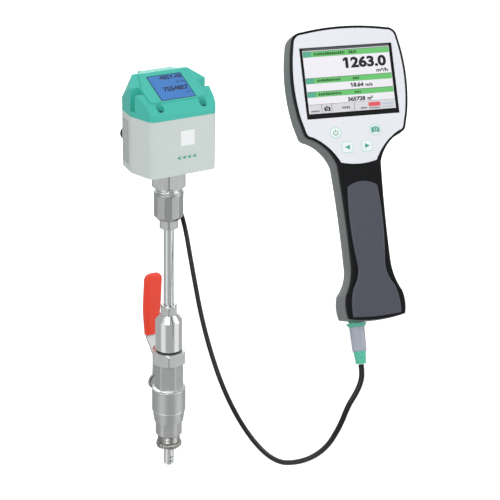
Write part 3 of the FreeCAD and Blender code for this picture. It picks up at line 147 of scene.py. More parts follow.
class Effects:
    """Shared shader node groups: grain, tool marks, rounded edges with a painted highlight, smudges and the
    studio's strips.
    """

    def __init__(self) -> None:
        """Builds each group once."""
        self.grain = self._grain()
        self.marks = self._marks()
        self.edge_highlight = self._edge_highlight()
        self.smudge = self._smudge()
        self.strips = self._strips()

    @staticmethod
    def _group(name: str, inputs: Sequence[tuple[str, float]], outputs: Sequence[tuple[str, str]]) -> tuple:
        """Starts a group.

        Args:
            name: The group's name.
            inputs: Name and default of each number that goes in.
            outputs: Name and socket type of each output.

        Returns:
            The group, its bench, its input node and its output node.
        """
        group = bpy.data.node_groups.new(name, "ShaderNodeTree")
        for label, default in inputs:
            socket = group.interface.new_socket(label, in_out="INPUT", socket_type="NodeSocketFloat")
            socket.default_value = default
        for label, kind in outputs:
            group.interface.new_socket(label, in_out="OUTPUT", socket_type=kind)
        bench = NodeBench(group)
        return group, bench, bench.add("NodeGroupInput"), bench.add("NodeGroupOutput")

    def _grain(self) -> bpy.types.NodeTree:
        """Fine moulded or blasted grain: a height and a mask."""
        group, bench, source, sink = self._group(
            "moulded_grain", [("Size mm", 0.5), ("Detail", 3.0)],
            [("Height", "NodeSocketFloat"), ("Mask", "NodeSocketFloat")])
        place = bench.add("TexCoord").outputs["Object"]
        scale = bench.maths("DIVIDE", 1000.0, source.outputs["Size mm"])
        fine = bench.add("TexNoise", in_Roughness=0.6)
        coarse = bench.add("TexNoise", in_Roughness=0.5, in_Detail=2.0)
        for noise, factor in ((fine, 1.0), (coarse, 0.13)):
            bench.join(place, noise.inputs["Vector"])
            bench.join(bench.maths("MULTIPLY", scale, factor), noise.inputs["Scale"])
        bench.join(source.outputs["Detail"], fine.inputs["Detail"])
        bench.join(fine.outputs["Fac"], sink.inputs["Height"])
        blend = bench.maths("MULTIPLY_ADD", coarse.outputs["Fac"], 0.7,
                            bench.maths("MULTIPLY", fine.outputs["Fac"], 0.3))
        bench.join(blend, sink.inputs["Mask"])
        return group

    def _marks(self) -> bpy.types.NodeTree:
        """Tool marks: rings round the column, or streaks along it."""
        group, bench, source, sink = self._group(
            "tool_marks", [("Pitch mm", 0.25), ("Along", 0.0)],
            [("Height", "NodeSocketFloat"), ("Streak", "NodeSocketFloat")])
        place = bench.add("TexCoord").outputs["Object"]
        parts = bench.add("SeparateXYZ")
        bench.join(place, parts.inputs[0])
        scale = bench.maths("DIVIDE", 1000.0, source.outputs["Pitch mm"])
        across = bench.maths("MULTIPLY", scale, source.outputs["Along"])
        around = bench.maths("SUBTRACT", scale, bench.maths("MULTIPLY", across, 0.96))
        joined = bench.add("CombineXYZ")
        for axis, factor in (("X", across), ("Y", across), ("Z", around)):
            bench.join(bench.maths("MULTIPLY", parts.outputs[axis], factor), joined.inputs[axis])
        fine = bench.add("TexNoise", in_Scale=1.0, in_Detail=2.0)
        broad = bench.add("TexNoise", in_Scale=0.16, in_Detail=3.0)
        for noise in (fine, broad):
            bench.join(joined.outputs[0], noise.inputs["Vector"])
        bench.join(fine.outputs["Fac"], sink.inputs["Height"])
        bench.join(broad.outputs["Fac"], sink.inputs["Streak"])
        return group

    def _edge_highlight(self) -> bpy.types.NodeTree:
        """Rounded edges: a softened normal, and a mask of the edges that the finishes use to paint a
        highlight.
        """
        group, bench, source, sink = self._group(
            "rounded_edge_highlight", [("Radius mm", 0.4)], [("Mask", "NodeSocketFloat"), ("Normal", "NodeSocketVector")])
        bevel = bench.add("Bevel", samples=6)
        bench.join(bench.maths("MULTIPLY", source.outputs["Radius mm"], MM), bevel.inputs["Radius"])
        dot = bench.add("VectorMath", operation="DOT_PRODUCT")
        bench.join(bevel.outputs[0], dot.inputs[0])
        bench.join(bench.add("NewGeometry").outputs["Normal"], dot.inputs[1])
        turned = bench.maths("SUBTRACT", 1.0, dot.outputs["Value"])
        ramp = bench.add("MapRange", in_From_Min=0.02, in_From_Max=0.25)
        bench.join(turned, ramp.inputs["Value"])
        bench.join(ramp.outputs["Result"], sink.inputs["Mask"])
        bench.join(bevel.outputs[0], sink.inputs["Normal"])
        return group

    def _smudge(self) -> bpy.types.NodeTree:
        """Soft uneven film from handling: one slow value."""
        group, bench, source, sink = self._group(
            "handling_film", [("Size mm", 18.0)], [("Value", "NodeSocketFloat")])
        noise = bench.add("TexNoise", in_Detail=4.0, in_Roughness=0.55, in_Distortion=0.6)
        bench.join(bench.add("TexCoord").outputs["Object"], noise.inputs["Vector"])
        bench.join(bench.maths("DIVIDE", 1000.0, source.outputs["Size mm"]), noise.inputs["Scale"])
        bench.join(noise.outputs["Fac"], sink.inputs["Value"])
        return group

    def _strips(self) -> bpy.types.NodeTree:
        """Tall soft strips round the studio, which metal shows: a brightness for each heading."""
        group, bench, source, sink = self._group("studio_strips", [], [("Brightness", "NodeSocketFloat")])
        group.interface.new_socket("Heading", in_out="INPUT", socket_type="NodeSocketVector")
        level = bench.add("VectorMath", operation="MULTIPLY", in_1=(1.0, 1.0, 0.0))
        bench.join(source.outputs["Heading"], level.inputs[0])
        unit = bench.add("VectorMath", operation="NORMALIZE")
        bench.join(level.outputs[0], unit.inputs[0])
        brightness = STRIP_BASE
        for direction, gain in STRIPS:
            toward = bench.add("VectorMath", operation="DOT_PRODUCT", in_1=direction)
            bench.join(unit.outputs[0], toward.inputs[0])
            ramp = bench.add("MapRange", in_From_Min=STRIP_EDGE, in_From_Max=STRIP_CORE, in_To_Max=gain,
                             interpolation_type="SMOOTHSTEP")
            bench.join(toward.outputs["Value"], ramp.inputs["Value"])
            brightness = bench.maths("ADD", ramp.outputs["Result"], brightness)
        bench.join(brightness, sink.inputs["Brightness"])
        return group


@dataclass(frozen=True)
class Finish:
    """One finish of the object.

    Attributes:
        name: Name of the material.
        colour: Screen colour of the surface.
        roughness: Middle roughness.
        metallic: 1 for bare metal.
        spread: How far roughness wanders from its middle.
        tint: How far the colour wanders, as a share.
        grain: Size of the grain in millimetres.
        depth: Depth of the grain's bump in millimetres.
        lay: How tool marks run.
        pitch: Spacing of the tool marks in millimetres.
        mark_depth: Depth of the tool marks in millimetres.
        edge: Radius of the softened edges in millimetres.
        edge_lift: How much lighter the edges are painted, as a share: a painted highlight on every edge.
        coat: Weight of a clear coat.
        glow: Strength of the surface's own light.
        specular: Level of the mirror share of a plastic.
    """

    name: str
    colour: tuple[int, int, int]
    roughness: float = 0.45
    metallic: float = 0.0
    spread: float = 0.08
    tint: float = 0.06
    grain: float = 0.5
    depth: float = 0.01
    lay: Lay = Lay.NONE
    pitch: float = 0.3
    mark_depth: float = 0.004
    edge: float = 0.3
    edge_lift: float = 0.12
    coat: float = 0.0
    glow: float = 0.0
    specular: float = 0.5

    def build(self, effects: Effects) -> bpy.types.Material:
        """Makes the material.

        Args:
            effects: The shared node groups.

        Returns:
            The material.
        """
        material = bpy.data.materials.new(self.name)
        material.use_nodes = True
        bench = NodeBench(material.node_tree)
        material.node_tree.nodes.clear()
        shader = bench.add("BsdfPrincipled")
        bench.join(shader.outputs[0], bench.add("OutputMaterial").inputs[0])
        base = linear(*self.colour)
        material.diffuse_color = base
        shader.inputs["Metallic"].default_value = self.metallic
        shader.inputs["Coat Weight"].default_value = self.coat
        shader.inputs["Specular IOR Level"].default_value = self.specular
        shader.inputs["Coat Roughness"].default_value = 0.12
        grain = bench.add("Group", node_tree=effects.grain)
        grain.inputs["Size mm"].default_value = self.grain
        film = bench.add("Group", node_tree=effects.smudge)
        edge_highlight = bench.add("Group", node_tree=effects.edge_highlight)
        edge_highlight.inputs["Radius mm"].default_value = self.edge
        wander = bench.maths("SUBTRACT", grain.outputs["Mask"], 0.5)
        rough = bench.maths("MULTIPLY_ADD", bench.maths("SUBTRACT", film.outputs["Value"], 0.5),
                            self.spread * 2, self.roughness)
        height = bench.maths("MULTIPLY", grain.outputs["Height"], self.depth * MM)
        if self.lay is not Lay.NONE:
            marks = bench.add("Group", node_tree=effects.marks)
            marks.inputs["Pitch mm"].default_value = self.pitch
            marks.inputs["Along"].default_value = 1.0 if self.lay is Lay.BRUSHED else 0.0
            height = bench.maths("MULTIPLY_ADD", marks.outputs["Height"], self.mark_depth * MM, height)
            wander = bench.maths("ADD", wander, bench.maths("SUBTRACT", marks.outputs["Streak"], 0.5))
            rough = bench.maths("MULTIPLY_ADD", bench.maths("SUBTRACT", marks.outputs["Streak"], 0.5),
                                self.spread * 2, rough)
        bench.join(rough, shader.inputs["Roughness"])
        shade = bench.maths("MULTIPLY_ADD", wander, self.tint * 4, 1.0)
        # The edge mask paints every edge lighter by edge_lift: a painted highlight.
        shade = bench.maths("MULTIPLY_ADD", edge_highlight.outputs["Mask"], self.edge_lift, shade)
        colour = bench.add("VectorMath", operation="SCALE", in_0=base[:3])
        bench.join(shade, colour.inputs["Scale"])
        bench.join(colour.outputs[0], shader.inputs["Base Color"])
        bump = bench.add("Bump", in_Strength=1.0, in_Distance=1.0)
        bench.join(height, bump.inputs["Height"])
        bench.join(edge_highlight.outputs["Normal"], bump.inputs["Normal"])
        bench.join(bump.outputs[0], shader.inputs["Normal"])
        if self.glow:
            shader.inputs["Emission Strength"].default_value = self.glow
            bench.join(colour.outputs[0], shader.inputs["Emission Color"])
        return material


STEEL_TUBE = Finish("polished_tube", (222, 226, 226), 0.12, 1.0, 0.03, 0.02, 0.6, 0.001,
                    Lay.BRUSHED, 0.25, 0.002, 0.2, 0.1)
STEEL_TURNED = Finish("turned_steel", (225, 228, 227), 0.14, 1.0, 0.04, 0.03, 0.5, 0.001,
                      Lay.TURNED, 0.3, 0.003, 0.35, 0.25)
STEEL_MILLED = Finish("milled_steel", (190, 193, 192), 0.3, 1.0, 0.08, 0.06, 0.5, 0.002,
                      Lay.BRUSHED, 0.5, 0.003, 0.5, 0.5)
STEEL_BLASTED = Finish("blasted_steel", (200, 203, 202), 0.46, 1.0, 0.05, 0.05, 0.45, 0.03,
                       Lay.NONE, 0.3, 0.0, 0.6, 0.35)
STEEL_RING = Finish("polished_ring", (235, 238, 237), 0.16, 1.0, 0.04, 0.03, 0.5, 0.001,
                    Lay.TURNED, 0.2, 0.001, 0.2, 0.1)
SCALE_GREY = Finish("scale_marks", (92, 95, 96), 0.5, tint=0.1, depth=0.002)
STEEL_WELD = Finish("weld_metal", (160, 160, 156), 0.33, 1.0, 0.12, 0.12, 1.4, 0.12,
                    Lay.NONE, 0.3, 0.0, 0.4, 0.2)
STEEL_SCREW = Finish("screw_steel", (120, 122, 122), 0.3, 1.0, 0.05, 0.05, 0.4, 0.002,
                     Lay.TURNED, 0.2, 0.002, 0.2, 0.3)
PLATED = Finish("plated_brass", (176, 172, 162), 0.25, 1.0, 0.05, 0.04, 0.5, 0.001,
                Lay.TURNED, 0.2, 0.002, 0.25, 0.2)
SEAT_WHITE = Finish("seat_plastic", (232, 232, 228), 0.4)
RED_DIP = Finish("dipped_grip", (240, 70, 48), 0.38, 0.0, 0.06, 0.03, 1.6, 0.02, edge=0.5, edge_lift=0.05,
                 coat=0.15, specular=0.3)
SEAL_BLACK = Finish("seal_rubber", (34, 34, 35), 0.6, 0.0, 0.06, 0.1, 0.4, 0.01, specular=0.3)
TEAL = Finish("teal_cover", (66, 190, 174), 0.42, 0.0, 0.05, 0.03, 0.35, 0.012, edge=0.7, edge_lift=0.12)
PALE = Finish("pale_housing", (206, 216, 213), 0.45, 0.0, 0.05, 0.02, 0.35, 0.012, edge=0.6, edge_lift=0.08)
LABEL_WHITE = Finish("label_film", (242, 246, 246), 0.35, tint=0.015, depth=0.002)
LABEL_GREY = Finish("rating_film", (188, 194, 194), 0.32, 0.2, tint=0.02, depth=0.002)
LABEL_LINE = Finish("rating_lines", (128, 134, 136), 0.4, tint=0.03, depth=0.0)
INK_TEAL = Finish("teal_ink", (40, 160, 135), 0.4, tint=0.08, depth=0.002)
LCD_BLUE = Finish("lcd_blue", (62, 120, 190), 0.3, tint=0.04, depth=0.0, glow=0.12)
LCD_INK = Finish("lcd_segment", (22, 34, 74), 0.35, tint=0.08, depth=0.0)
LCD_EDGE = Finish("lcd_border", (16, 66, 96), 0.35, tint=0.05, depth=0.0)
BOARD = Finish("circuit_board", (24, 92, 52), 0.35, tint=0.15, grain=2.0, coat=0.4)
CASE_GREY = Finish("case_shell", (112, 116, 117), 0.5, 0.0, 0.06, 0.04, 0.4, 0.015, edge=0.6, edge_lift=0.1)
# The rim's strong edge_lift paints a light line along its chamfer: a painted highlight.
RIM_BLACK = Finish("case_rim", (14, 15, 17), 0.3, 0.0, 0.08, 0.1, 0.5, 0.006, edge=0.4, edge_lift=0.6,
                   specular=0.2)
# The grip pad's edge_lift paints a light line along its chamfer: a painted highlight.
PANEL_SLATE = Finish("grip_panel", (70, 72, 84), 0.4, 0.0, 0.06, 0.05, 0.4, 0.015, edge=0.8, edge_lift=0.2)
FOIL = Finish("keypad_foil", (228, 230, 236), 0.36, 0.0, 0.04, 0.012, 0.3, 0.004, edge=0.2, edge_lift=0.05)
KEY_FIELD = Finish("key_field", (234, 242, 241), 0.34, tint=0.01, depth=0.003)
KEY_LINE = Finish("key_outline", (140, 208, 192), 0.4, tint=0.04, depth=0.002)
KEY_INK = Finish("key_symbol", (60, 160, 138), 0.4, tint=0.05, depth=0.002)
BEZEL = Finish("screen_border", (14, 14, 16), 0.22, tint=0.05, depth=0.0, coat=0.2, specular=0.2)
PICTURE = Finish("screen_ground", (236, 234, 240), 0.35, tint=0.01, depth=0.0)
BAR_GREEN = Finish("screen_green", (105, 195, 110), 0.35, tint=0.03, depth=0.0)
BAR_TEAL = Finish("screen_teal", (84, 170, 140), 0.35, tint=0.04, depth=0.0)
INK_GREEN = Finish("screen_caption", (20, 74, 34), 0.35, tint=0.05, depth=0.0)
BAR_DARK = Finish("screen_strip", (72, 78, 78), 0.35, tint=0.1, depth=0.0)
BUTTON_GREY = Finish("screen_button", (214, 214, 216), 0.35, tint=0.03, depth=0.0)
INK_BLACK = Finish("screen_ink", (12, 12, 14), 0.35, tint=0.05, depth=0.0)
MARK_RED = Finish("screen_red", (225, 85, 95), 0.35, tint=0.04, depth=0.0)
MARK_BLUE = Finish("screen_blue", (170, 190, 214), 0.35, tint=0.04, depth=0.0)
PLUG_GREY = Finish("plug_sleeve", (164, 170, 182), 0.3, 0.0, 0.05, 0.03, 0.4, 0.008, edge=0.4, edge_lift=0.1)
PLUG_TEAL = Finish("plug_teal", (92, 196, 168), 0.36, 0.0, 0.05, 0.04, 0.4, 0.01, edge=0.4, edge_lift=0.1)
CABLE_BLACK = Finish("cable_jacket", (26, 26, 28), 0.42, 0.0, 0.06, 0.12, 0.8, 0.02, specular=0.25)
PACK_BLUE = Finish("pack_wrap", (38, 58, 104), 0.3, tint=0.05)


class Paint:
    """Makes each finish once and hands out its material."""

    def __init__(self) -> None:
        """Starts with the shared node groups and no material."""
        self.effects = Effects()
        self.made: dict[str, bpy.types.Material] = {}

    def get(self, finish: Finish) -> bpy.types.Material:
        """The material of a finish."""
        if finish.name not in self.made:
            self.made[finish.name] = finish.build(self.effects)
        return self.made[finish.name]


class Workshop:
    """Turns outlines and rings into pieces that ride on a body of the frame."""

    def __init__(self, paint: Paint) -> None:
        """Keeps the paint."""
        self.paint = paint

    def dress(self, node: str, finish: Finish) -> None:
        """Gives a node of the frame its finish.

        Args:
            node: Name of the node.
            finish: Its finish.
        """
        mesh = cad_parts[node].data
        mesh.materials.clear()
        mesh.materials.append(self.paint.get(finish))
        LOG.info("dressed %s", node)

    def mesh(self, name: str, points: Sequence[Vector], faces: Sequence[Sequence[int]], body: str, slot: str,
             finish: Finish, nodes: Sequence[str] = (), sharp: float = 35.0,
             bevel: float = 0.0) -> bpy.types.Object:
        """Makes one piece.

        Args:
            name: The piece's name.
            points: Its points in millimetres in the row frame.
            faces: Its faces as indices of points.
            body: Body that it rides on.
            slot: Material slot of the record.
            finish: Its finish.
            nodes: Nodes of the frame that it stands for.
            sharp: Edges that turn more than this many degrees stay sharp.
            bevel: Width in millimetres of a bevel on those edges.

        Returns:
            The piece.
        """
        data = bpy.data.meshes.new(name)
        data.from_pydata([Vector(p) * MM for p in points], [], [list(f) for f in faces])
        data.validate()
        data.materials.append(self.paint.get(finish))
        piece = bpy.data.objects.new(name, data)
        bpy.context.scene.collection.objects.link(piece)
        data.shade_smooth()
        data.set_sharp_from_angle(angle=math.radians(sharp))
        if bevel:
            rounding = piece.modifiers.new("edges", "BEVEL")
            rounding.width = bevel * MM
            rounding.segments = 3
            rounding.limit_method = "ANGLE"
            rounding.angle_limit = math.radians(sharp)
            rounding.harden_normals = False
        self.seat(piece, body, slot, nodes)
        return piece

    def seat(self, piece: bpy.types.Object, body: str, slot: str, nodes: Sequence[str] = ()) -> None:
        """Lets a piece ride on its body and hides the nodes of the frame that it stands for.

        Args:
            piece: The piece.
            body: Body that it rides on.
            slot: Not used.
            nodes: Nodes of the frame that it stands for.
        """
        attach(piece, body)
        if nodes:
            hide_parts(*nodes)
        LOG.info("made %s on %s", piece.name, body)

    def loft(self, name: str, rings: Sequence[Ring], body: str, slot: str, finish: Finish,
             nodes: Sequence[str] = (), sharp: float = 35.0, place: Optional[Matrix] = None,
             closed: bool = False) -> bpy.types.Object:
        """Makes a piece from rings with the same number of points.

        Args:
            name: The piece's name.
            rings: The rings in order, each anticlockwise seen from the far end.
            body: Body that it rides on.
            slot: Material slot of the record.
            finish: Its finish.
            nodes: Nodes of the frame that it stands for.
            sharp: Edges that turn more than this many degrees stay sharp.
            place: Placement of the rings in the row frame.
            closed: Whether the last ring joins the first, in place of two caps.

        Returns:
            The piece.
        """
        size, levels = len(rings[0]), len(rings)
        points = [place @ p if place else p for ring in rings for p in ring]
        faces: list[list[int]] = []
        for level in range(levels if closed else levels - 1):
            low, high = level * size, (level + 1) % levels * size
            for i in range(size):
                j = (i + 1) % size
                faces.append([low + i, low + j, high + j, high + i])
        if not closed:
            faces.append(list(range(size))[::-1])
            faces.append([(levels - 1) * size + i for i in range(size)])
        return self.mesh(name, points, faces, body, slot, finish, nodes, sharp)

    def turned(self, name: str, profile: Sequence[Sequence[float]], body: str, slot: str, finish: Finish,
               nodes: Sequence[str] = (), place: Optional[Matrix] = None, sides: int = 72, flutes: int = 0,
               depth: float = 0.0, sharp: float = 30.0, closed: bool = False) -> bpy.types.Object:
        """Makes a piece turned about its own Z, with flutes along it if any.

        Args:
            name: The piece's name.
            profile: Radius and height of each ring, and the share of the flutes' depth there.
            body: Body that it rides on.
            slot: Material slot of the record.
            finish: Its finish.
            nodes: Nodes of the frame that it stands for.
            place: Placement of the piece in the row frame.
            sides: Points round a plain piece.
            flutes: Number of flutes.
            depth: Depth of a flute in millimetres.
            sharp: Edges that turn more than this many degrees stay sharp.
            closed: Whether the profile is a closed loop, for a ring.

        Returns:
            The piece.
        """
        count = flutes * 8 if flutes else sides
        rings = []
        for radius, height, *share in profile:
            ring = []
            for i in range(count):
                angle = math.tau * i / count
                dip = depth * share[0] * (0.5 - 0.5 * math.cos(flutes * angle)) ** 2 if share else 0.0
                reach = radius - dip
                ring.append(Vector((reach * math.cos(angle), reach * math.sin(angle), height)))
            rings.append(ring)
        return self.loft(name, rings, body, slot, finish, nodes, sharp, place, closed)


@dataclass
class Film:
    """Flat prints, digits and low pads on one surface.

    Attributes:
        shop: The workshop.
        place: Placement of the surface in the row frame, with its own Z outward.
        body: Body that it rides on.
        slot: Material slot of the record.
        level: Height of the surface in millimetres.
        step: Thickness of one layer in millimetres.
    """

    shop: Workshop
    place: Matrix
    body: str
    slot: str
    level: float = 0.0
    step: float = 0.04

    def prints(self, name: str, shapes: Sequence[Sequence[Point] | Band], finish: Finish, layer: float = 1,
               nodes: Sequence[str] = (), sink: float = 0.0, bevel: float = 0.0) -> bpy.types.Object:
        """Makes one piece of flat shapes, each an anticlockwise outline or a band.

        Args:
            name: The piece's name.
            shapes: The outlines and bands.
            finish: Their finish.
            layer: Number of layers that they stand proud.
            nodes: Nodes of the frame that they stand for.
            sink: How far they reach below the surface in millimetres.
            bevel: Width of a bevel on their edges in millimetres.

        Returns:
            The piece.
        """
        points: list[Vector] = []
        faces: list[list[int]] = []
        for shape in shapes:
            loops = list(shape) if isinstance(shape, Band) else [shape]
            start, size = len(points), len(loops[0])
            for z in (self.level - sink, self.level + layer * self.step):
                for loop in loops:
                    points += [self.place @ Vector((x, y, z)) for x, y in loop]
            rows = [start + size * k for k in range(2 * len(loops))]
            if len(loops) == 1:
                faces.append([rows[0] + i for i in reversed(range(size))])
                faces.append([rows[1] + i for i in range(size)])
            for i in range(size):
                j = (i + 1) % size
                if len(loops) == 1:
                    faces.append([rows[0] + i, rows[0] + j, rows[1] + j, rows[1] + i])
                else:
                    faces += [[rows[0] + i, rows[0] + j, rows[2] + j, rows[2] + i],
                              [rows[1] + j, rows[1] + i, rows[3] + i, rows[3] + j],
                              [rows[2] + i, rows[2] + j, rows[3] + j, rows[3] + i],
                              [rows[0] + j, rows[0] + i, rows[1] + i, rows[1] + j]]
        return self.shop.mesh(name, points, faces, self.body, self.slot, finish, nodes, bevel=bevel)

    def digits(self, name: str, text: str, box: tuple[float, float, float, float], finish: Finish,
               bold: float = 0.0, layer: float = 1) -> bpy.types.Object:
        """Sets digits or a unit so that they fill a box.

        Args:
            name: The piece's name.
            text: The digits or the unit.
            box: Left, low, right and high side of the box.
            finish: Their finish.
            bold: How far the strokes are thickened, as a share of the type size.
            layer: Number of layers that they stand proud.

        Returns:
            The piece.
        """
        line = bpy.data.curves.new(name + "_line", "FONT")
        line.body = text
        line.offset = bold
        line.extrude = 0.5
        line.resolution_u = 4
        carrier = bpy.data.objects.new(name + "_line", line)
        flat = bpy.data.meshes.new_from_object(carrier)
        spots = [v.co.copy() for v in flat.vertices]
        faces = [list(p.vertices) for p in flat.polygons]
        bpy.data.meshes.remove(flat)
        bpy.data.objects.remove(carrier)
        bpy.data.curves.remove(line)
        left, low, right, high = box
        wide = (min(p.x for p in spots), max(p.x for p in spots))
        tall = (min(p.y for p in spots), max(p.y for p in spots))
        points = [self.place @ Vector((
            left + (p.x - wide[0]) / (wide[1] - wide[0]) * (right - left),
            low + (p.y - tall[0]) / (tall[1] - tall[0]) * (high - low),
            self.level + (layer * self.step if p.z > 0 else 0.0))) for p in spots]
        return self.shop.mesh(name, points, faces, self.body, self.slot, finish)

    def strokes(self, name: str, lines: Sequence[tuple[float, float, float, float]], finish: Finish,
                layer: float = 2) -> bpy.types.Object:
        """Makes captions that are too small to read: rows of short strokes.

        Args:
            name: The piece's name.
            lines: Left side, right side, middle height and size of each row.
            finish: Their finish.
            layer: Number of layers that they stand proud.

        Returns:
            The piece.
        """
        shapes = []
        for left, right, middle, size in lines:
            x = left
            while x < right - 0.2 * size:
                wide = size * random.uniform(0.32, 0.62)
                tall = size * random.choice((0.36, 0.36, 0.5))
                shapes.append(rectangle(x, middle - 0.36 * size, min(x + wide, right), middle + tall))
                x += wide + 0.2 * size
        return self.prints(name, shapes, finish, layer)


def rectangle(left: float, low: float, right: float, high: float) -> list[Point]:
    """Anticlockwise outline of a rectangle."""
    return [(left, low), (right, low), (right, high), (left, high)]


def placed(origin: Sequence[float], yaw: float = 0.0, pitch: float = 0.0, roll: float = 0.0) -> Matrix:
    """Placement from an origin in millimetres and turns in degrees about Z, then Y, then X.

    Args:
        origin: The place of the frame's origin.
        yaw: Turn about Z.
        pitch: Turn about the turned Y.
        roll: Turn about the turned X.

    Returns:
        The placement.
    """
    turn = Matrix.Identity(4)
    for degrees, axis in ((yaw, "Z"), (pitch, "Y"), (roll, "X")):
        turn = turn @ Matrix.Rotation(math.radians(degrees), 4, axis)
    return Matrix.Translation(Vector(origin)) @ turn


def round_rectangle(left: float, low: float, right: float, high: float, radius: float,
                    steps: int = 6) -> list[Point]:
    """Anticlockwise outline of a rectangle with rounded corners.

    Args:
        left: Left side.
        low: Lower side.
        right: Right side.
        high: Upper side.
        radius: Radius of the corners.
        steps: Points on each corner.

    Returns:
        The outline.
    """
    corners = ((right - radius, low + radius, -90), (right - radius, high - radius, 0),
               (left + radius, high - radius, 90), (left + radius, low + radius, 180))
    return [(x + radius * math.cos(math.radians(start + 90 * i / steps)),
             y + radius * math.sin(math.radians(start + 90 * i / steps)))
            for x, y, start in corners for i in range(steps + 1)]


def disc(x: float, y: float, radius: float, sides: int = 40) -> list[Point]:
    """Anticlockwise circle."""
    return [(x + radius * math.cos(math.tau * i / sides), y + radius * math.sin(math.tau * i / sides))
            for i in range(sides)]


def arc_strip(x: float, y: float, radius: float, width: float, start: float, end: float,
              steps: int = 24) -> list[Point]:
    """Anticlockwise outline of a curved stroke.

    Args:
        x: Middle of the arc.
        y: Middle of the arc.
        radius: Radius of the stroke's middle line.
        width: Width of the stroke.
        start: Angle in degrees where it starts.
        end: Angle in degrees where it ends.
        steps: Points along each side, less one.

    Returns:
        The outline.
    """
    angles = [math.radians(start + (end - start) * i / steps) for i in range(steps + 1)]
    outer = [(x + (radius + width / 2) * math.cos(a), y + (radius + width / 2) * math.sin(a)) for a in angles]
    inner = [(x + (radius - width / 2) * math.cos(a), y + (radius - width / 2) * math.sin(a)) for a in angles]
    return outer + inner[::-1]


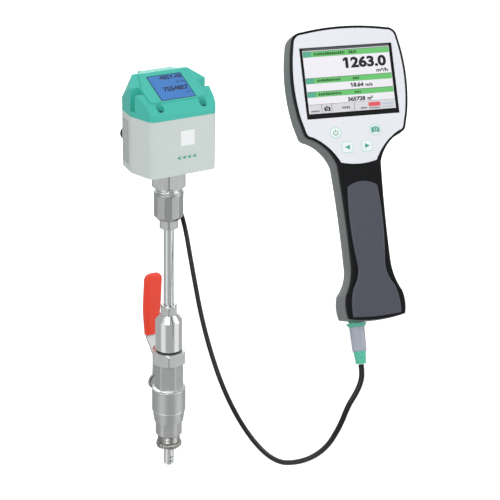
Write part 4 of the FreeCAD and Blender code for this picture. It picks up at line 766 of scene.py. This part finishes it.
@dataclass
class Studio:
    """Camera, floor and lamps.

    Attributes:
        effects: The shared node groups.
        eye: The camera's place in millimetres.
        view: How far the camera looks down, its heading and its roll, in degrees.
        lens: Focal length on a 36 mm sensor.
        floor: Height of the floor in millimetres.
        key: Power of the main lamp in watts.
        fill: Power of the fill lamp.
        back: Power of the rear lamp.
        ambient: Strength of the world's soft light.
    """

    effects: Effects
    eye: tuple[float, float, float] = (-645.2, -1081.0, 705.9)
    view: tuple[float, float, float] = (21.37546, 34.40091, 1.30350)
    lens: float = 100.8
    floor: float = -26.0
    key: float = 12.0
    fill: float = 5.0
    back: float = 8.0
    ambient: float = 0.45

    def camera(self) -> None:
        """Puts the camera at the photograph's place."""
        elevation, heading, roll = (math.radians(a) for a in self.view)
        level = Vector((math.sin(heading), math.cos(heading), 0))
        side = Vector((math.cos(heading), -math.sin(heading), 0))
        look = level * math.cos(elevation) - Vector((0, 0, 1)) * math.sin(elevation)
        top = level * math.sin(elevation) + Vector((0, 0, 1)) * math.cos(elevation)
        x = side * math.cos(roll) + top * math.sin(roll)
        y = -side * math.sin(roll) + top * math.cos(roll)
        data = bpy.data.cameras.new("camera")
        data.lens = self.lens
        data.sensor_width = 36.0
        data.clip_start, data.clip_end = 0.02, 60.0
        camera = bpy.data.objects.new("camera", data)
        turn = Matrix((x, y, -look)).transposed()
        camera.matrix_world = Matrix.Translation(Vector(self.eye) * MM) @ turn.to_4x4()
        bpy.context.scene.collection.objects.link(camera)
        bpy.context.scene.camera = camera

    def backdrop(self) -> None:
        """Lays the pale floor, which shows white to the camera and keeps the object's shadow."""
        data = bpy.data.meshes.new("floor")
        half = 6.0
        z = self.floor * MM
        corners = [(x, y, z) for x, y in rectangle(-half, -half, half, half)]
        data.from_pydata(corners, [], [(0, 1, 2, 3)])
        floor = bpy.data.objects.new("floor", data)
        bpy.context.scene.collection.objects.link(floor)
        material = bpy.data.materials.new("studio_floor")
        material.use_nodes = True
        bench = NodeBench(material.node_tree)
        material.node_tree.nodes.clear()
        matt = bench.add("BsdfDiffuse", in_Color=(0.8, 0.8, 0.8, 1.0))
        glow = bench.add("Emission", in_Color=(1.0, 1.0, 1.0, 1.0))
        path = bench.add("LightPath")
        seen = bench.maths("MAXIMUM", path.outputs["Is Camera Ray"],
                           path.outputs["Is Transmission Ray"])
        span = bench.add("VectorMath", operation="LENGTH")
        bench.join(bench.add("TexCoord").outputs["Object"], span.inputs[0])
        rise = bench.add("MapRange", in_From_Min=0.3, in_From_Max=1.1, in_To_Min=0.45, in_To_Max=1.0)
        bench.join(span.outputs["Value"], rise.inputs["Value"])
        bench.join(bench.maths("MULTIPLY", seen, rise.outputs["Result"]), glow.inputs["Strength"])
        both = bench.add("AddShader")
        bench.join(matt.outputs[0], both.inputs[0])
        bench.join(glow.outputs[0], both.inputs[1])
        strips = bench.add("Group", node_tree=self.effects.strips)
        bench.join(bench.add("TexCoord").outputs["Object"], strips.inputs["Heading"])
        mirrored = bench.add("Emission")
        bench.join(strips.outputs["Brightness"], mirrored.inputs["Color"])
        either = bench.add("MixShader")
        bench.join(path.outputs["Is Glossy Ray"], either.inputs[0])
        bench.join(both.outputs[0], either.inputs[1])
        bench.join(mirrored.outputs[0], either.inputs[2])
        bench.join(either.outputs[0], bench.add("OutputMaterial").inputs[0])
        data.materials.append(material)

    def lamp(self, name: str, place: Sequence[float], aim: Sequence[float], size: float,
             power: float) -> None:
        """Hangs one soft square lamp.

        Args:
            name: The lamp's name.
            place: Where it hangs, in millimetres.
            aim: What it points at, in millimetres.
            size: Width of the lamp in metres.
            power: Its power in watts.
        """
        data = bpy.data.lights.new(name, "AREA")
        data.energy = power
        data.shape = "SQUARE"
        data.size = size
        lamp = bpy.data.objects.new(name, data)
        lamp.location = Vector(place) * MM
        lamp.rotation_mode = "QUATERNION"
        lamp.rotation_quaternion = (Vector(aim) - Vector(place)).to_track_quat("-Z", "Y")
        bpy.context.scene.collection.objects.link(lamp)

    def world(self) -> None:
        """Soft even light, white to the camera and dimmer to the object."""
        world = bpy.data.worlds.new("studio")
        world.use_nodes = True
        bench = NodeBench(world.node_tree)
        world.node_tree.nodes.clear()
        path = bench.add("LightPath")
        seen = bench.maths("MAXIMUM", path.outputs["Is Camera Ray"], path.outputs["Is Transmission Ray"])
        heading = bench.add("TexCoord").outputs["Generated"]
        strips = bench.add("Group", node_tree=self.effects.strips)
        bench.join(heading, strips.inputs["Heading"])
        glossy = bench.maths("MULTIPLY", path.outputs["Is Glossy Ray"], bench.maths(
            "SUBTRACT", strips.outputs["Brightness"], self.ambient))
        strength = bench.maths("ADD", self.ambient, bench.maths("MULTIPLY", seen, 1.0 - self.ambient))
        strength = bench.maths("MINIMUM", bench.maths("ADD", strength, glossy), 1.0)
        ground = bench.add("Background", in_Color=(1.0, 1.0, 1.0, 1.0))
        bench.join(strength, ground.inputs["Strength"])
        bench.join(ground.outputs[0], bench.add("OutputWorld").inputs[0])
        bpy.context.scene.world = world

    def build(self) -> None:
        """Makes the whole studio."""
        self.camera()
        self.backdrop()
        self.world()
        self.lamp("key_lamp", (-900, -900, 1300), (0, -100, 250), 0.7, self.key)
        self.lamp("fill_lamp", (900, -800, 700), (0, -100, 250), 0.9, self.fill)
        self.lamp("back_lamp", (300, 1000, 1100), (0, 0, 250), 0.8, self.back)
        bpy.context.scene.view_settings.view_transform = "Standard"


@dataclass
class Cable:
    """The cable from the angled plug to the hand-held display.

    Attributes:
        diameter: Diameter of the jacket in millimetres.
        length: Length of the cable in millimetres; not used.
        route: Control points in metres, as in the part's source.
    """

    shop: Workshop
    diameter: float = 4.5
    length: float = 544.0
    route: tuple[tuple[float, float, float], ...] = (
        (0.022, 0.0465, 0.290), (0.022, 0.0465, 0.276), (0.026, 0.035, 0.254), (0.021, 0.007, 0.239),
        (0.016, -0.017, 0.197), (0.012, -0.045, 0.144), (0.010, -0.083, 0.096), (0.006, -0.132, 0.071),
        (0.0, -0.185, 0.069), (-0.005, -0.231, 0.093), (-0.013, -0.274, 0.128), (-0.0146, -0.2942, 0.1593),
        (-0.007, -0.2946, 0.1777), (0.0005, -0.2939, 0.1855), (0.0065, -0.2923, 0.1931),
        (0.0096, -0.290, 0.2001), (0.0105, -0.2868, 0.207))

    def run(self) -> bpy.types.Object:
        """Makes the cable on its smooth line.

        Returns:
            The cable.
        """
        data = bpy.data.curves.new("cable", "CURVE")
        data.dimensions = "3D"
        data.bevel_depth = self.diameter / 2 * MM
        data.bevel_resolution = 8
        data.resolution_u = 16
        data.use_fill_caps = True
        spline = data.splines.new("NURBS")
        spline.points.add(len(self.route) - 1)
        for point, place in zip(spline.points, self.route):
            point.co = (*place, 1.0)
        spline.order_u = 3
        spline.use_endpoint_u = True
        data.materials.append(self.shop.paint.get(CABLE_BLACK))
        cable = bpy.data.objects.new("cable", data)
        bpy.context.scene.collection.objects.link(cable)
        self.shop.seat(cable, "probe", "cable_black", ["cable_run"])
        return cable

    def build(self) -> None:
        cable = self.run()


@dataclass
class Column:
    """Steel column: nipple, valve, clamping fitting, tube and couplings.

    Attributes:
        nipple_radius: Radius of the nipple's wall.
        nipple_top: Height where the nipple enters the valve.
        seam_height: Height of the seam below the barrel.
        neck_height: Height of the foot of the valve's neck.
        barrel_radius: Radius of the valve's barrel.
        ball_height: Height of the ball's centre, on the lever's axis.
        lever_lean: Lean of the lever in degrees.
        grip_middle: Distance of the grip's middle behind the column.
        grip_foot: Distance of the grip's lower end from the lever's axis.
        grip_reach: Distance of the grip's upper end from the lever's axis.
        grip_half: Half the grip's thickness.
        tube_radius: Radius of the probe's tube.
        scale_foot: Height of the lowest mark on the tube.
        scale_top: Height of the highest mark on the tube.
    """

    shop: Workshop
    nipple_radius: float = 10.65
    nipple_top: float = 13.3
    seam_height: float = 41.0
    neck_height: float = 66.3
    barrel_radius: float = 16.75
    ball_height: float = 61.0
    lever_lean: float = 3.0
    grip_middle: float = 40.0
    grip_foot: float = 46.0
    grip_reach: float = 112.0
    grip_half: float = 3.25
    tube_radius: float = 5.0
    scale_foot: float = 158.0
    scale_top: float = 222.0

    def dress(self) -> None:
        """Gives the column's nodes their finishes."""
        finishes = {
            "weld_nipple": STEEL_WELD, "valve_end": STEEL_BLASTED, "valve_body": STEEL_BLASTED,
            "ball_seats": SEAT_WHITE, "valve_ball": STEEL_TURNED, "valve_stem": STEEL_TURNED,
            "stem_packing": SEAT_WHITE, "gland_nut": STEEL_BLASTED, "valve_lever": STEEL_MILLED,
            "stem_nut": STEEL_MILLED, "sleeve_washer": SEAL_BLACK, "fitting_sleeve": STEEL_TURNED,
            "seal_ring": SEAL_BLACK, "clamp_ring": STEEL_TURNED, "clamp_nut": STEEL_MILLED,
            "probe_tube": STEEL_TUBE, "probe_tip": STEEL_TURNED, "sensing_pins": STEEL_TURNED,
            "tube_collar": STEEL_MILLED, "coupling_barrel": STEEL_MILLED, "union_ring": STEEL_TURNED,
            "neck_nut": STEEL_MILLED, "lock_nut": PLATED,
        }
        for node, finish in finishes.items():
            self.shop.dress(node, finish)

    def weld(self) -> None:
        """Makes the uneven weld bead at the nipple's foot and the thread turns above it."""
        sides, section = 120, 12
        wobble = [random.uniform(0, math.tau) for _ in range(6)]
        rings = []
        for step in range(section):
            turn = math.tau * step / section
            ring = []
            for i in range(sides):
                angle = math.tau * i / sides
                lump = abs(math.sin(13 * angle + wobble[0] + 0.6 * math.sin(3 * angle + wobble[1])))
                swell = 1.0 + 0.35 * lump + 0.18 * math.sin(5 * angle + wobble[2]) \
                    + 0.1 * math.sin(29 * angle + wobble[3] + turn)
                radius = max(self.nipple_radius + 0.2 + 1.5 * swell * math.cos(turn), self.nipple_radius - 0.4)
                height = max(1.6 + 2.3 * swell * math.sin(turn), 0.0)
                ring.append(Vector((radius * math.cos(angle), radius * math.sin(angle), height)))
            rings.append(ring)
        self.shop.loft("weld_bead", rings, "valve", "steel_bright", STEEL_WELD, closed=True, sharp=60)
        profile: list[tuple[float, float]] = []
        height = 5.2
        while height < self.nipple_top - 1.2:
            profile += [(self.nipple_radius + 0.02, height), (self.nipple_radius + 0.5, height + 0.65),
                        (self.nipple_radius + 0.5, height + 0.85), (self.nipple_radius + 0.02, height + 1.5)]
            height += 1.6
        profile += [(self.nipple_radius - 0.3, height), (self.nipple_radius - 0.3, 5.2)]
        self.shop.turned("nipple_thread", profile, "valve", "steel_bright", STEEL_WELD, closed=True, sharp=20)

    def valve_rings(self) -> None:
        """Makes the bright turned rings above and below the valve's barrel."""
        wide = self.barrel_radius
        lower, upper = self.seam_height, self.neck_height
        self.shop.turned("barrel_ring_lower", [
            (wide - 0.75, lower - 0.55), (wide - 0.35, lower - 0.5), (wide + 0.04, lower - 0.05),
            (wide + 0.08, lower + 0.35), (wide + 0.02, lower + 0.75), (wide - 0.75, lower + 0.8)],
            "valve", "nickel", STEEL_RING, closed=True, sides=96, sharp=50)
        self.shop.turned("barrel_ring_upper", [
            (wide - 0.9, upper - 2.0), (wide + 0.05, upper - 1.9), (wide + 0.08, upper - 1.45),
            (14.46, upper + 0.12), (14.3, upper + 0.12), (14.2, upper - 1.0)],
            "valve", "nickel", STEEL_RING, closed=True, sides=96, sharp=50)

    def grip_half_width(self, along: float) -> float:
        """Half the grip's width at a distance from the lever's axis."""
        foot, top = self.grip_foot, self.grip_reach
        if along > top - 7:
            return 3.0 + math.sqrt(max(0.0, 49.0 - (along - top + 7) ** 2))
        share = min(1.0, (along - foot) / 36)
        return 6.5 + 3.5 * math.sin(share * math.pi / 2) ** 1.15

    def grip(self) -> None:
        """Makes the soft dipped grip on the lever's end, with rounded sides and a rolled lower lip."""
        place = placed((0, 0, self.ball_height), 0, self.lever_lean, 0) @ placed((0, self.grip_middle, 0))
        foot, top = self.grip_foot, self.grip_reach
        stations = [(foot, 0.8, 0.35), (foot + 0.15, 0.95, 0.15), (foot + 0.7, 1.06, 0.0),
                    (foot + 1.6, 1.08, 0.0), (foot + 2.6, 1.0, 0.0)]
        stations += [(foot + 2.6 + (top - 8.6 - foot) * i / 14, 1.0, 0.0) for i in range(1, 15)]
        turns = [i * math.pi / 16 for i in range(1, 9)]
        stations += [(top - 6 + 6 * math.sin(turn), max(0.12, math.cos(turn) ** 0.55), 0.0) for turn in turns]
        rings = []
        for along, thick, draw in stations:
            wide = self.grip_half_width(min(along, top - 0.05)) - draw
            ring = []
            for i in range(48):
                angle = -math.tau * i / 48
                x, y = math.cos(angle), math.sin(angle)
                ring.append(Vector((wide * math.copysign(abs(x) ** 0.6, x),
                                    self.grip_half * thick * math.copysign(abs(y) ** 0.72, y), along)))
            rings.append(ring[::-1])
        self.shop.loft("soft_grip", rings, "lever", "red_grip", RED_DIP, ["lever_grip"], sharp=70,
                       place=place)

    def depth_scale(self) -> None:
        """Makes the engraved depth marks along the tube, each fifth one longer."""
        points: list[Vector] = []
        faces: list[list[int]] = []
        middle = math.radians(-70)
        count = int((self.scale_top - self.scale_foot) / 2) + 1
        for mark in range(count):
            height = self.scale_foot + 2 * mark
            half = 0.42 if mark % 5 == 0 else 0.24
            start = len(points)
            for z in (height - 0.16, height + 0.16):
                for radius in (self.tube_radius - 0.05, self.tube_radius + 0.02):
                    for step in range(7):
                        angle = middle - half + half * step / 3
                        points.append(Vector((radius * math.cos(angle), radius * math.sin(angle), z)))
            for step in range(6):
                a, b, c, d = (start + 7 * k + step for k in range(4))
                faces += [[b, b + 1, d + 1, d], [a + 1, a, c, c + 1],
                          [a, a + 1, b + 1, b], [c + 1, c, d, d + 1]]
            a, b, c, d = (start + 7 * k for k in range(4))
            faces += [[a, b, d, c], [a + 6, c + 6, d + 6, b + 6]]
        self.shop.mesh("depth_marks", points, faces, "probe", "steel_dark", SCALE_GREY)

    def build(self) -> None:
        """Makes and dresses the column."""
        self.dress()
        self.weld()
        self.valve_rings()
        self.grip()
        self.depth_scale()


@dataclass
class DisplayHead:
    """Display head of the probe: housing, hood, screen and rear connectors.

    Attributes:
        front: Distance of the front wall from the axis.
        lid_foot: Height where the hood's slope meets the front.
        slope: Slope of the hood in degrees.
        panel_rise: Height of the raised panel on the slope.
        window: Left, low, right and high side of the window on the slope.
        recess: Depth of the window's seat.
        kink: Half the width at the side walls' kinks.
        wall_turn: Turn of the side walls from the front-to-back line in degrees.
        connector_height: Height of the rear connectors.
        connector_half: Half the distance between them.
        facet_foot: Height of the hood's front edge.
        facet_back: Place where the front facet meets the slope.
        facet_pitch: Rise of the front facet.
        ridge_start: Place where the slope meets the level top.
        ridge_end: Place where the level top meets the rear.
        ridge_top: Height of the level top.
        rear_pitch: Fall of the rear.
        shave_start: Place where the rear corners' shave starts.
        shave_turn: Direction of that shave, across and along the hood.
        shave_pitch: Fall of that shave.
        screw_spot: Place of the screws, across and along the hood.
        screw_seat: Height of the screws' seats.
        well_radii: Inner and outer radius of the sleeves in the screw bores.
    """

    shop: Workshop
    front: float = 28.5
    lid_foot: float = 360.8
    slope: float = 29.0
    panel_rise: float = 1.0
    window: tuple[float, float, float, float] = (-18.5, 11.5, 18.5, 44.5)
    recess: float = 1.6
    kink: float = 40.5
    wall_turn: float = 11.5
    connector_height: float = 322.5
    connector_half: float = 22.0
    facet_foot: float = 356.0
    facet_back: float = -20.5
    facet_pitch: float = 9.235 / 8
    ridge_start: float = 15.8
    ridge_end: float = 25.0
    ridge_top: float = 385.36
    rear_pitch: float = 22.36 / 3.5
    shave_start: float = 17.5
    shave_turn: Point = (0.329, 0.944)
    shave_pitch: float = 2.1
    screw_spot: Point = (22.7, 22.4)
    screw_seat: float = 355.5
    well_radii: Point = (3.75, 4.5)

    def dress(self) -> None:
        """Gives the head's nodes their finishes."""
        finishes = {
            "sensor_housing": PALE, "lid_gasket": SEAL_BLACK, "housing_lid": TEAL, "lid_screws": STEEL_SCREW,
            "lcd_module": LCD_BLUE, "sensor_board": BOARD, "connector_left": PLATED,
            "connector_right": PLATED, "angled_plug": SEAL_BLACK,
        }
        for node, finish in finishes.items():
            self.shop.dress(node, finish)

    def screen(self) -> None:
        """Makes the small screen: dark border, blue face, two rows of digits and their units."""
        place = placed((0, -self.front, self.lid_foot)) @ placed((0, 0, 0), 0, 0, self.slope) \
            @ placed((0, 0, self.panel_rise))
        left, low, right, high = self.window
        glass = Film(self.shop, place, "probe", "clear_window", -0.3, 0.05)
        glass.prints("screen_border", [round_rectangle(left, low, right, high, 0.7)], LCD_EDGE, 1,
                     ["lcd_window"], sink=self.recess + 0.9)
        face = Film(self.shop, place, "probe", "lcd_face", -0.25, 0.04)
        face.prints("screen_face", [round_rectangle(left + 1.1, low + 1.1, right - 0.7, high - 0.8, 0.3)],
                    LCD_BLUE)
        for name, row, box, bold in (("flow_digits", "4857.40", (-6.6, 37.9, 17.3, 43.0), 0.04),
                                     ("flow_unit", "m³/h", (7.6, 31.8, 16.9, 35.2), 0.0),
                                     ("total_digits", "7554857", (-9.6, 22.4, 17.0, 28.4), 0.04),
                                     ("total_unit", "m³", (11.6, 17.6, 16.6, 20.6), 0.0)):
            face.digits(name, row, box, LCD_INK, bold, 2)

    def labels(self) -> None:
        """Makes the bare white label, the four flow arrows and the bare film on the left wall."""
        face = Film(self.shop, placed((0, -self.front, 0), 0, 0, 90), "probe", "pale_housing", 0.0, 0.05)
        face.prints("front_label", [round_rectangle(-4.0, 324.6, 10.9, 339.2, 0.5)], LABEL_WHITE, 2)
        arrows = []
        for i in range(4):
            tip = -8.2 + 5.5 * i
            arrows.append([(tip, 313.6), (tip + 4.4, 311.7), (tip + 3.7, 313.6), (tip + 4.4, 315.5)])
        face.prints("flow_arrows", arrows, INK_TEAL, 1.2)
        wall = placed((-self.kink, 0, 0), 270 - self.wall_turn, 0, 0) @ placed((0, 0, 0), 0, 0, 90)
        side = Film(self.shop, wall, "probe", "pale_housing", 0.0, 0.05)
        side.prints("side_label", [round_rectangle(-23.5, 303.0, -6.5, 345.0, 0.8)], LABEL_GREY, 2)
        border = Band(rectangle(-22.3, 304.2, -7.7, 343.8), rectangle(-22.0, 304.5, -8.0, 343.5))
        side.prints("side_label_rows", [border]
                    + [rectangle(-21.5, z, -8.5, z + 0.3) for z in (311, 318, 325, 332)], LABEL_LINE, 3)

    def hood_height(self, x: float, y: float) -> float:
        """Height of the hood's outer surface above a point.

        Args:
            x: Place across the hood.
            y: Place from its front to its back.

        Returns:
            The height.
        """
        if y < self.facet_back:
            return self.facet_foot + (y + self.front) * self.facet_pitch
        if y < self.ridge_start:
            return self.lid_foot + (y + self.front) * math.tan(math.radians(self.slope))
        top = self.ridge_top
        if y >= self.ridge_end:
            top -= (y - self.ridge_end) * self.rear_pitch
        across, along = self.shave_turn
        shave = max(0.0, across * (abs(x) - self.front) + along * (y - self.shave_start))
        return min(top, self.ridge_top - self.shave_pitch * shave - 0.1)

    def screw_wells(self) -> None:
        """Lines the four screw bores of the hood, which open into its hollow."""
        across, along = self.screw_spot
        inner, outer = self.well_radii
        for side, x in (("left", -across), ("right", across)):
            for end, y in (("front", -along), ("rear", along)):
                rings = []
                for radius, high in ((outer, False), (outer, True), (inner, True), (inner, False)):
                    ring = []
                    for spot in disc(x, y, radius, 32):
                        level = self.hood_height(*spot) - 0.5 if high else self.screw_seat
                        ring.append(Vector((*spot, level)))
                    rings.append(ring)
                self.shop.loft("screw_well_%s_%s" % (side, end), rings, "probe", "teal_cover", TEAL,
                               closed=True)

    def rear_fittings(self) -> None:
        """Makes the ribbed dust cap and the knurled nut of the angled plug."""
        back = self.front + 2.0
        left = placed((-self.connector_half, back, self.connector_height), 0, 0, -90)
        right = placed((self.connector_half, back, self.connector_height), 0, 0, -90)
        self.shop.turned("ribbed_cap", [
            (6.1, 0.0, 0), (6.9, 0.0, 0), (7.2, 0.3, 0), (7.2, 1.4, 0), (6.9, 1.8, 0.3), (7.0, 2.4, 1),
            (7.0, 10.2, 1), (6.8, 10.8, 0.5), (6.5, 11.6, 0), (5.9, 12.3, 0), (5.0, 12.5, 0), (4.2, 12.2, 0)],
            "probe", "black_rubber", SEAL_BLACK, ["dust_cap"], left, flutes=24, depth=0.45)
        self.shop.turned("knurled_nut", [
            (6.1, 0.2, 0), (6.7, 0.2, 0), (7.15, 0.6, 0), (7.15, 1.4, 0), (7.0, 1.6, 0.2), (7.2, 2.1, 1),
            (7.2, 6.9, 1), (7.0, 7.4, 0.2), (7.15, 7.6, 0), (7.15, 8.1, 0), (6.7, 8.5, 0), (6.1, 8.5, 0)],
            "probe", "nickel", PLATED, ["plug_nut"], right, flutes=30, depth=0.5, closed=True)

    def build(self) -> None:
        """Makes and dresses the head."""
        self.dress()
        self.screen()
        self.labels()
        self.screw_wells()
        self.rear_fittings()


@dataclass
class HandheldDisplay:
    """Hand-held display: case, keypad foil, screen and plug.

    Attributes:
        origin: Middle of the case's front on its own axes.
        turns: Yaw, pitch and roll of the case in degrees.
        glass: Left, low, right and high side of the screen glass.
        picture: Left, low, right and high side of the lit picture.
        bars: Low and high side of each green bar.
        round_keys: Half the distance between the round keys, and their height.
        square_keys: Half the distance between the square keys, and their height.
        inlet: Place of the plug in the case's foot.
    """

    shop: Workshop
    origin: tuple[float, float, float] = (46.4, -208.4, 422.1)
    turns: tuple[float, float, float] = (-20.16, -1.74, 63.93)
    glass: tuple[float, float, float, float] = (-39.0, -30.2, 39.0, 27.8)
    picture: tuple[float, float, float, float] = (-36.9, -26.2, 36.6, 25.5)
    bars: tuple[Point, ...] = ((20.2, 24.6), (-1.6, 2.8), (-12.7, -8.5))
    round_keys: Point = (16.8, -42.6)
    square_keys: Point = (8.35, -55.3)
    inlet: tuple[float, float, float] = (-13.2, -197.0, -17.2)

    @property
    def frame(self) -> Matrix:
        """Placement of the case."""
        return placed(self.origin, *self.turns)

    def dress(self) -> None:
        """Gives the case's nodes their finishes."""
        finishes = {
            "front_shell": RIM_BLACK, "grip_pad": PANEL_SLATE, "rear_shell": CASE_GREY, "front_foil": FOIL,
            "display_panel": BEZEL, "main_board": BOARD, "battery_pack": PACK_BLUE,
            "case_screws": STEEL_SCREW, "case_inlet": PLUG_TEAL,
        }
        for node, finish in finishes.items():
            self.shop.dress(node, finish)

    def screen(self) -> None:
        """Makes the glass with its black border and the lit picture with its bars and digits."""
        glass = Film(self.shop, self.frame, "probe", "screen_glass", -0.2, 0.04)
        glass.prints("glass_pane", [round_rectangle(*self.glass, 0.6)], BEZEL, 1, ["screen_glass"], sink=1.1)
        show = Film(self.shop, self.frame, "probe", "screen_face", -0.16, 0.03)
        left, low, right, high = self.picture
        show.prints("picture_ground", [rectangle(left, low, right, high)], PICTURE)
        show.prints("picture_head", [rectangle(left, high, right, high + 1.9)], BAR_DARK)
        show.prints("green_bars", [rectangle(left + 0.2, foot, right - 0.3, top) for foot, top in self.bars],
                    BAR_GREEN, 2)
        show.prints("bar_ends", [rectangle(left + 0.2, foot, left + 7.2, top) for foot, top in self.bars],
                    BAR_TEAL, 3)
        show.prints("bar_lines", [rectangle(left + 0.2, top, right - 0.3, top + 0.35)
                                  for _, top in self.bars], BAR_DARK, 3)
        captions = [(-27.4, -1.5, 22.3, 2.6), (2.0, 8.4, 22.3, 2.6), (-27.2, -7.8, 0.6, 2.3),
                    (3.0, 8.1, 0.6, 2.3), (-27.3, -7.5, -10.7, 2.3), (3.4, 8.5, -10.7, 2.3)]
        show.strokes("bar_captions", captions, INK_GREEN, 4)
        for name, row, box, bold in (("main_digits", "1263.0", (-1.9, 9.3, 32.9, 18.5), 0.045),
                                     ("main_unit", "m³/h", (23.7, 4.6, 33.6, 7.6), 0.035),
                                     ("speed_digits", "18.64", (1.2, -6.5, 11.4, -2.9), 0.045),
                                     ("speed_unit", "m/s", (13.1, -6.6, 19.1, -3.6), 0.035),
                                     ("sum_digits", "365728", (-3.2, -18.0, 11.6, -14.4), 0.045),
                                     ("sum_unit", "m³", (13.4, -18.0, 18.0, -14.6), 0.035)):
            show.digits(name, row, box, INK_BLACK, bold, 2)
        show.prints("digit_flags", [
            [(-3.8, 14.9), (-1.3, 16.3), (-1.3, 18.5), (-1.7, 18.5), (-3.8, 16.8)],
            [(0.5, -4.6), (1.5, -4.0), (1.5, -2.9), (1.3, -2.9), (0.5, -3.6)]], INK_BLACK, 2)

    def button_row(self) -> None:
        """Makes the row of buttons at the picture's foot."""
        show = Film(self.shop, self.frame, "probe", "screen_face", -0.16, 0.03)
        left, low, right, _ = self.picture
        top = -18.85
        edges = (left + 0.3, -25.9, -17.6, 1.6, right - 0.3)
        show.prints("buttons", [round_rectangle(a + 0.25, low + 0.3, b - 0.25, top - 0.1, 0.5)
                                for a, b in zip(edges, edges[1:])], BUTTON_GREY, 2)
        show.prints("button_lines", [rectangle(x - 0.16, low + 0.3, x + 0.16, top) for x in edges[1:-1]]
                    + [rectangle(left, top, right, top + 0.22)], BAR_DARK, 3)
        show.strokes("button_captions", [(-35.0, -27.6, -24.2, 1.7), (-8.8, -1.8, -22.8, 2.3),
                                         (7.0, 12.4, -24.3, 1.5), (13.8, 23.4, -24.7, 1.2)], BAR_DARK, 4)
        show.strokes("time_captions", [(25.1, 35.1, -21.9, 1.3), (25.1, 35.1, -24.4, 1.3)], MARK_BLUE, 4)
        show.prints("record_button", [round_rectangle(13.6, -23.3, 23.8, -20.0, 0.6)], MARK_RED, 4)
        show.prints("snapshot_icon", [
            round_rectangle(-23.9, -24.6, -18.9, -21.4, 0.6),
            rectangle(-22.3, -21.4, -20.5, -20.7)], INK_BLACK, 4)
        show.prints("snapshot_lens", [Band(disc(-21.4, -23.0, 1.15, 24), disc(-21.4, -23.0, 0.75, 24))],
                    PICTURE, 5)

    def keys(self) -> None:
        """Makes the four domed key fields of the foil with their outlines and symbols."""
        foil = Film(self.shop, self.frame, "probe", "foil_white", 0.0, 0.05)
        across, high = self.round_keys
        spread, low = self.square_keys
        fields = [disc(x, high, 4.9, 48) for x in (-across, across)] \
            + [round_rectangle(x - 4.9, low - 4.9, x + 4.9, low + 4.9, 2.2, 8) for x in (-spread, spread)]
        foil.prints("key_fields", fields, KEY_FIELD, 5, sink=0.2, bevel=0.12)
        lines = [Band(disc(x, high, 4.65, 48), disc(x, high, 4.25, 48)) for x in (-across, across)]
        lines += [Band(round_rectangle(x - 4.6, low - 4.6, x + 4.6, low + 4.6, 2.0, 8),
                       round_rectangle(x - 4.25, low - 4.25, x + 4.25, low + 4.25, 1.65, 8))
                  for x in (-spread, spread)]
        foil.prints("key_outlines", lines, KEY_LINE, 6)
        foil.prints("power_symbol", [arc_strip(-across, high - 0.2, 1.9, 0.55, 125, 415),
                                     rectangle(-across - 0.28, high, -across + 0.28, high + 2.6)], KEY_INK, 7)
        foil.prints("camera_symbol", [
            round_rectangle(across - 3.4, high - 2.1, across + 3.4, high + 1.9, 0.5),
            rectangle(across - 1.3, high + 1.9, across + 1.3, high + 2.5)], KEY_INK, 7)
        lens = Band(disc(across, high - 0.1, 1.5, 32), disc(across, high - 0.1, 1.05, 32))
        foil.prints("camera_lens", [lens, disc(across + 2.5, high + 1.1, 0.35, 12)], KEY_FIELD, 8)
        foil.prints("arrow_symbols", [
            [(-spread - 2.2, low), (-spread + 1.9, low - 1.9), (-spread + 1.9, low + 1.9)],
            [(spread + 2.2, low), (spread - 1.9, low + 1.9), (spread - 1.9, low - 1.9)]], KEY_INK, 7)

    def plug(self) -> None:
        """Makes the plug below the case: fluted ring, sleeve and ribbed strain relief."""
        down = self.frame @ placed(self.inlet) @ placed((0, 0, 0), 0, 0, 90)
        self.shop.turned("fluted_ring", [
            (6.2, 0.1, 0), (8.0, 0.1, 0), (8.3, 0.35, 0), (8.3, 0.9, 0.5), (8.05, 1.3, 1), (7.2, 2.5, 1),
            (6.95, 2.9, 0.3), (6.5, 3.0, 0)], "probe", "teal_cover", PLUG_TEAL, ["plug_ring"], down, flutes=22, depth=0.5)
        self.shop.turned("smooth_sleeve", [
            (5.9, 3.0), (6.2, 3.05), (6.35, 3.3), (6.35, 5.0), (6.15, 5.25), (6.15, 5.9), (6.32, 6.15),
            (6.05, 15.0), (5.86, 22.4), (5.75, 22.8), (5.4, 23.0)], "probe", "plug_grey", PLUG_GREY, ["plug_sleeve"], down)
        ribs: list[tuple[float, float, float]] = [(5.2, 23.0, 0.0), (5.4, 23.1, 0.0), (5.45, 23.5, 1.0)]
        for i in range(5):
            foot = 24.3 + 1.75 * i
            wide = 5.35 - 0.19 * i
            ribs += [(wide, foot, 1.0), (wide - 0.45, foot + 0.2, 0.6), (wide - 0.45, foot + 0.6, 0.6),
                     (wide - 0.04, foot + 0.8, 1.0)]
        ribs += [(4.5, 32.9, 1.0), (4.3, 33.25, 0.0), (3.9, 33.4, 0.0), (2.4, 33.4, 0.0)]
        self.shop.turned("ribbed_relief", ribs, "probe", "teal_cover", PLUG_TEAL, ["strain_relief"], down,
                         flutes=10, depth=0.4)

    def build(self) -> None:
        """Makes and dresses the hand-held display."""
        self.dress()
        self.screen()
        self.button_row()
        self.keys()
        self.plug()


def main() -> None:
    """Builds the studio and every sub-assembly in order."""
    logging.basicConfig(level=logging.INFO, format="%(name)s: %(message)s")
    random.seed(7)
    paint = Paint()
    Studio(paint.effects).build()
    shop = Workshop(paint)
    Cable(shop).build()
    Column(shop).build()
    DisplayHead(shop).build()
    HandheldDisplay(shop).build()


if __name__ == "__main__":
    main()
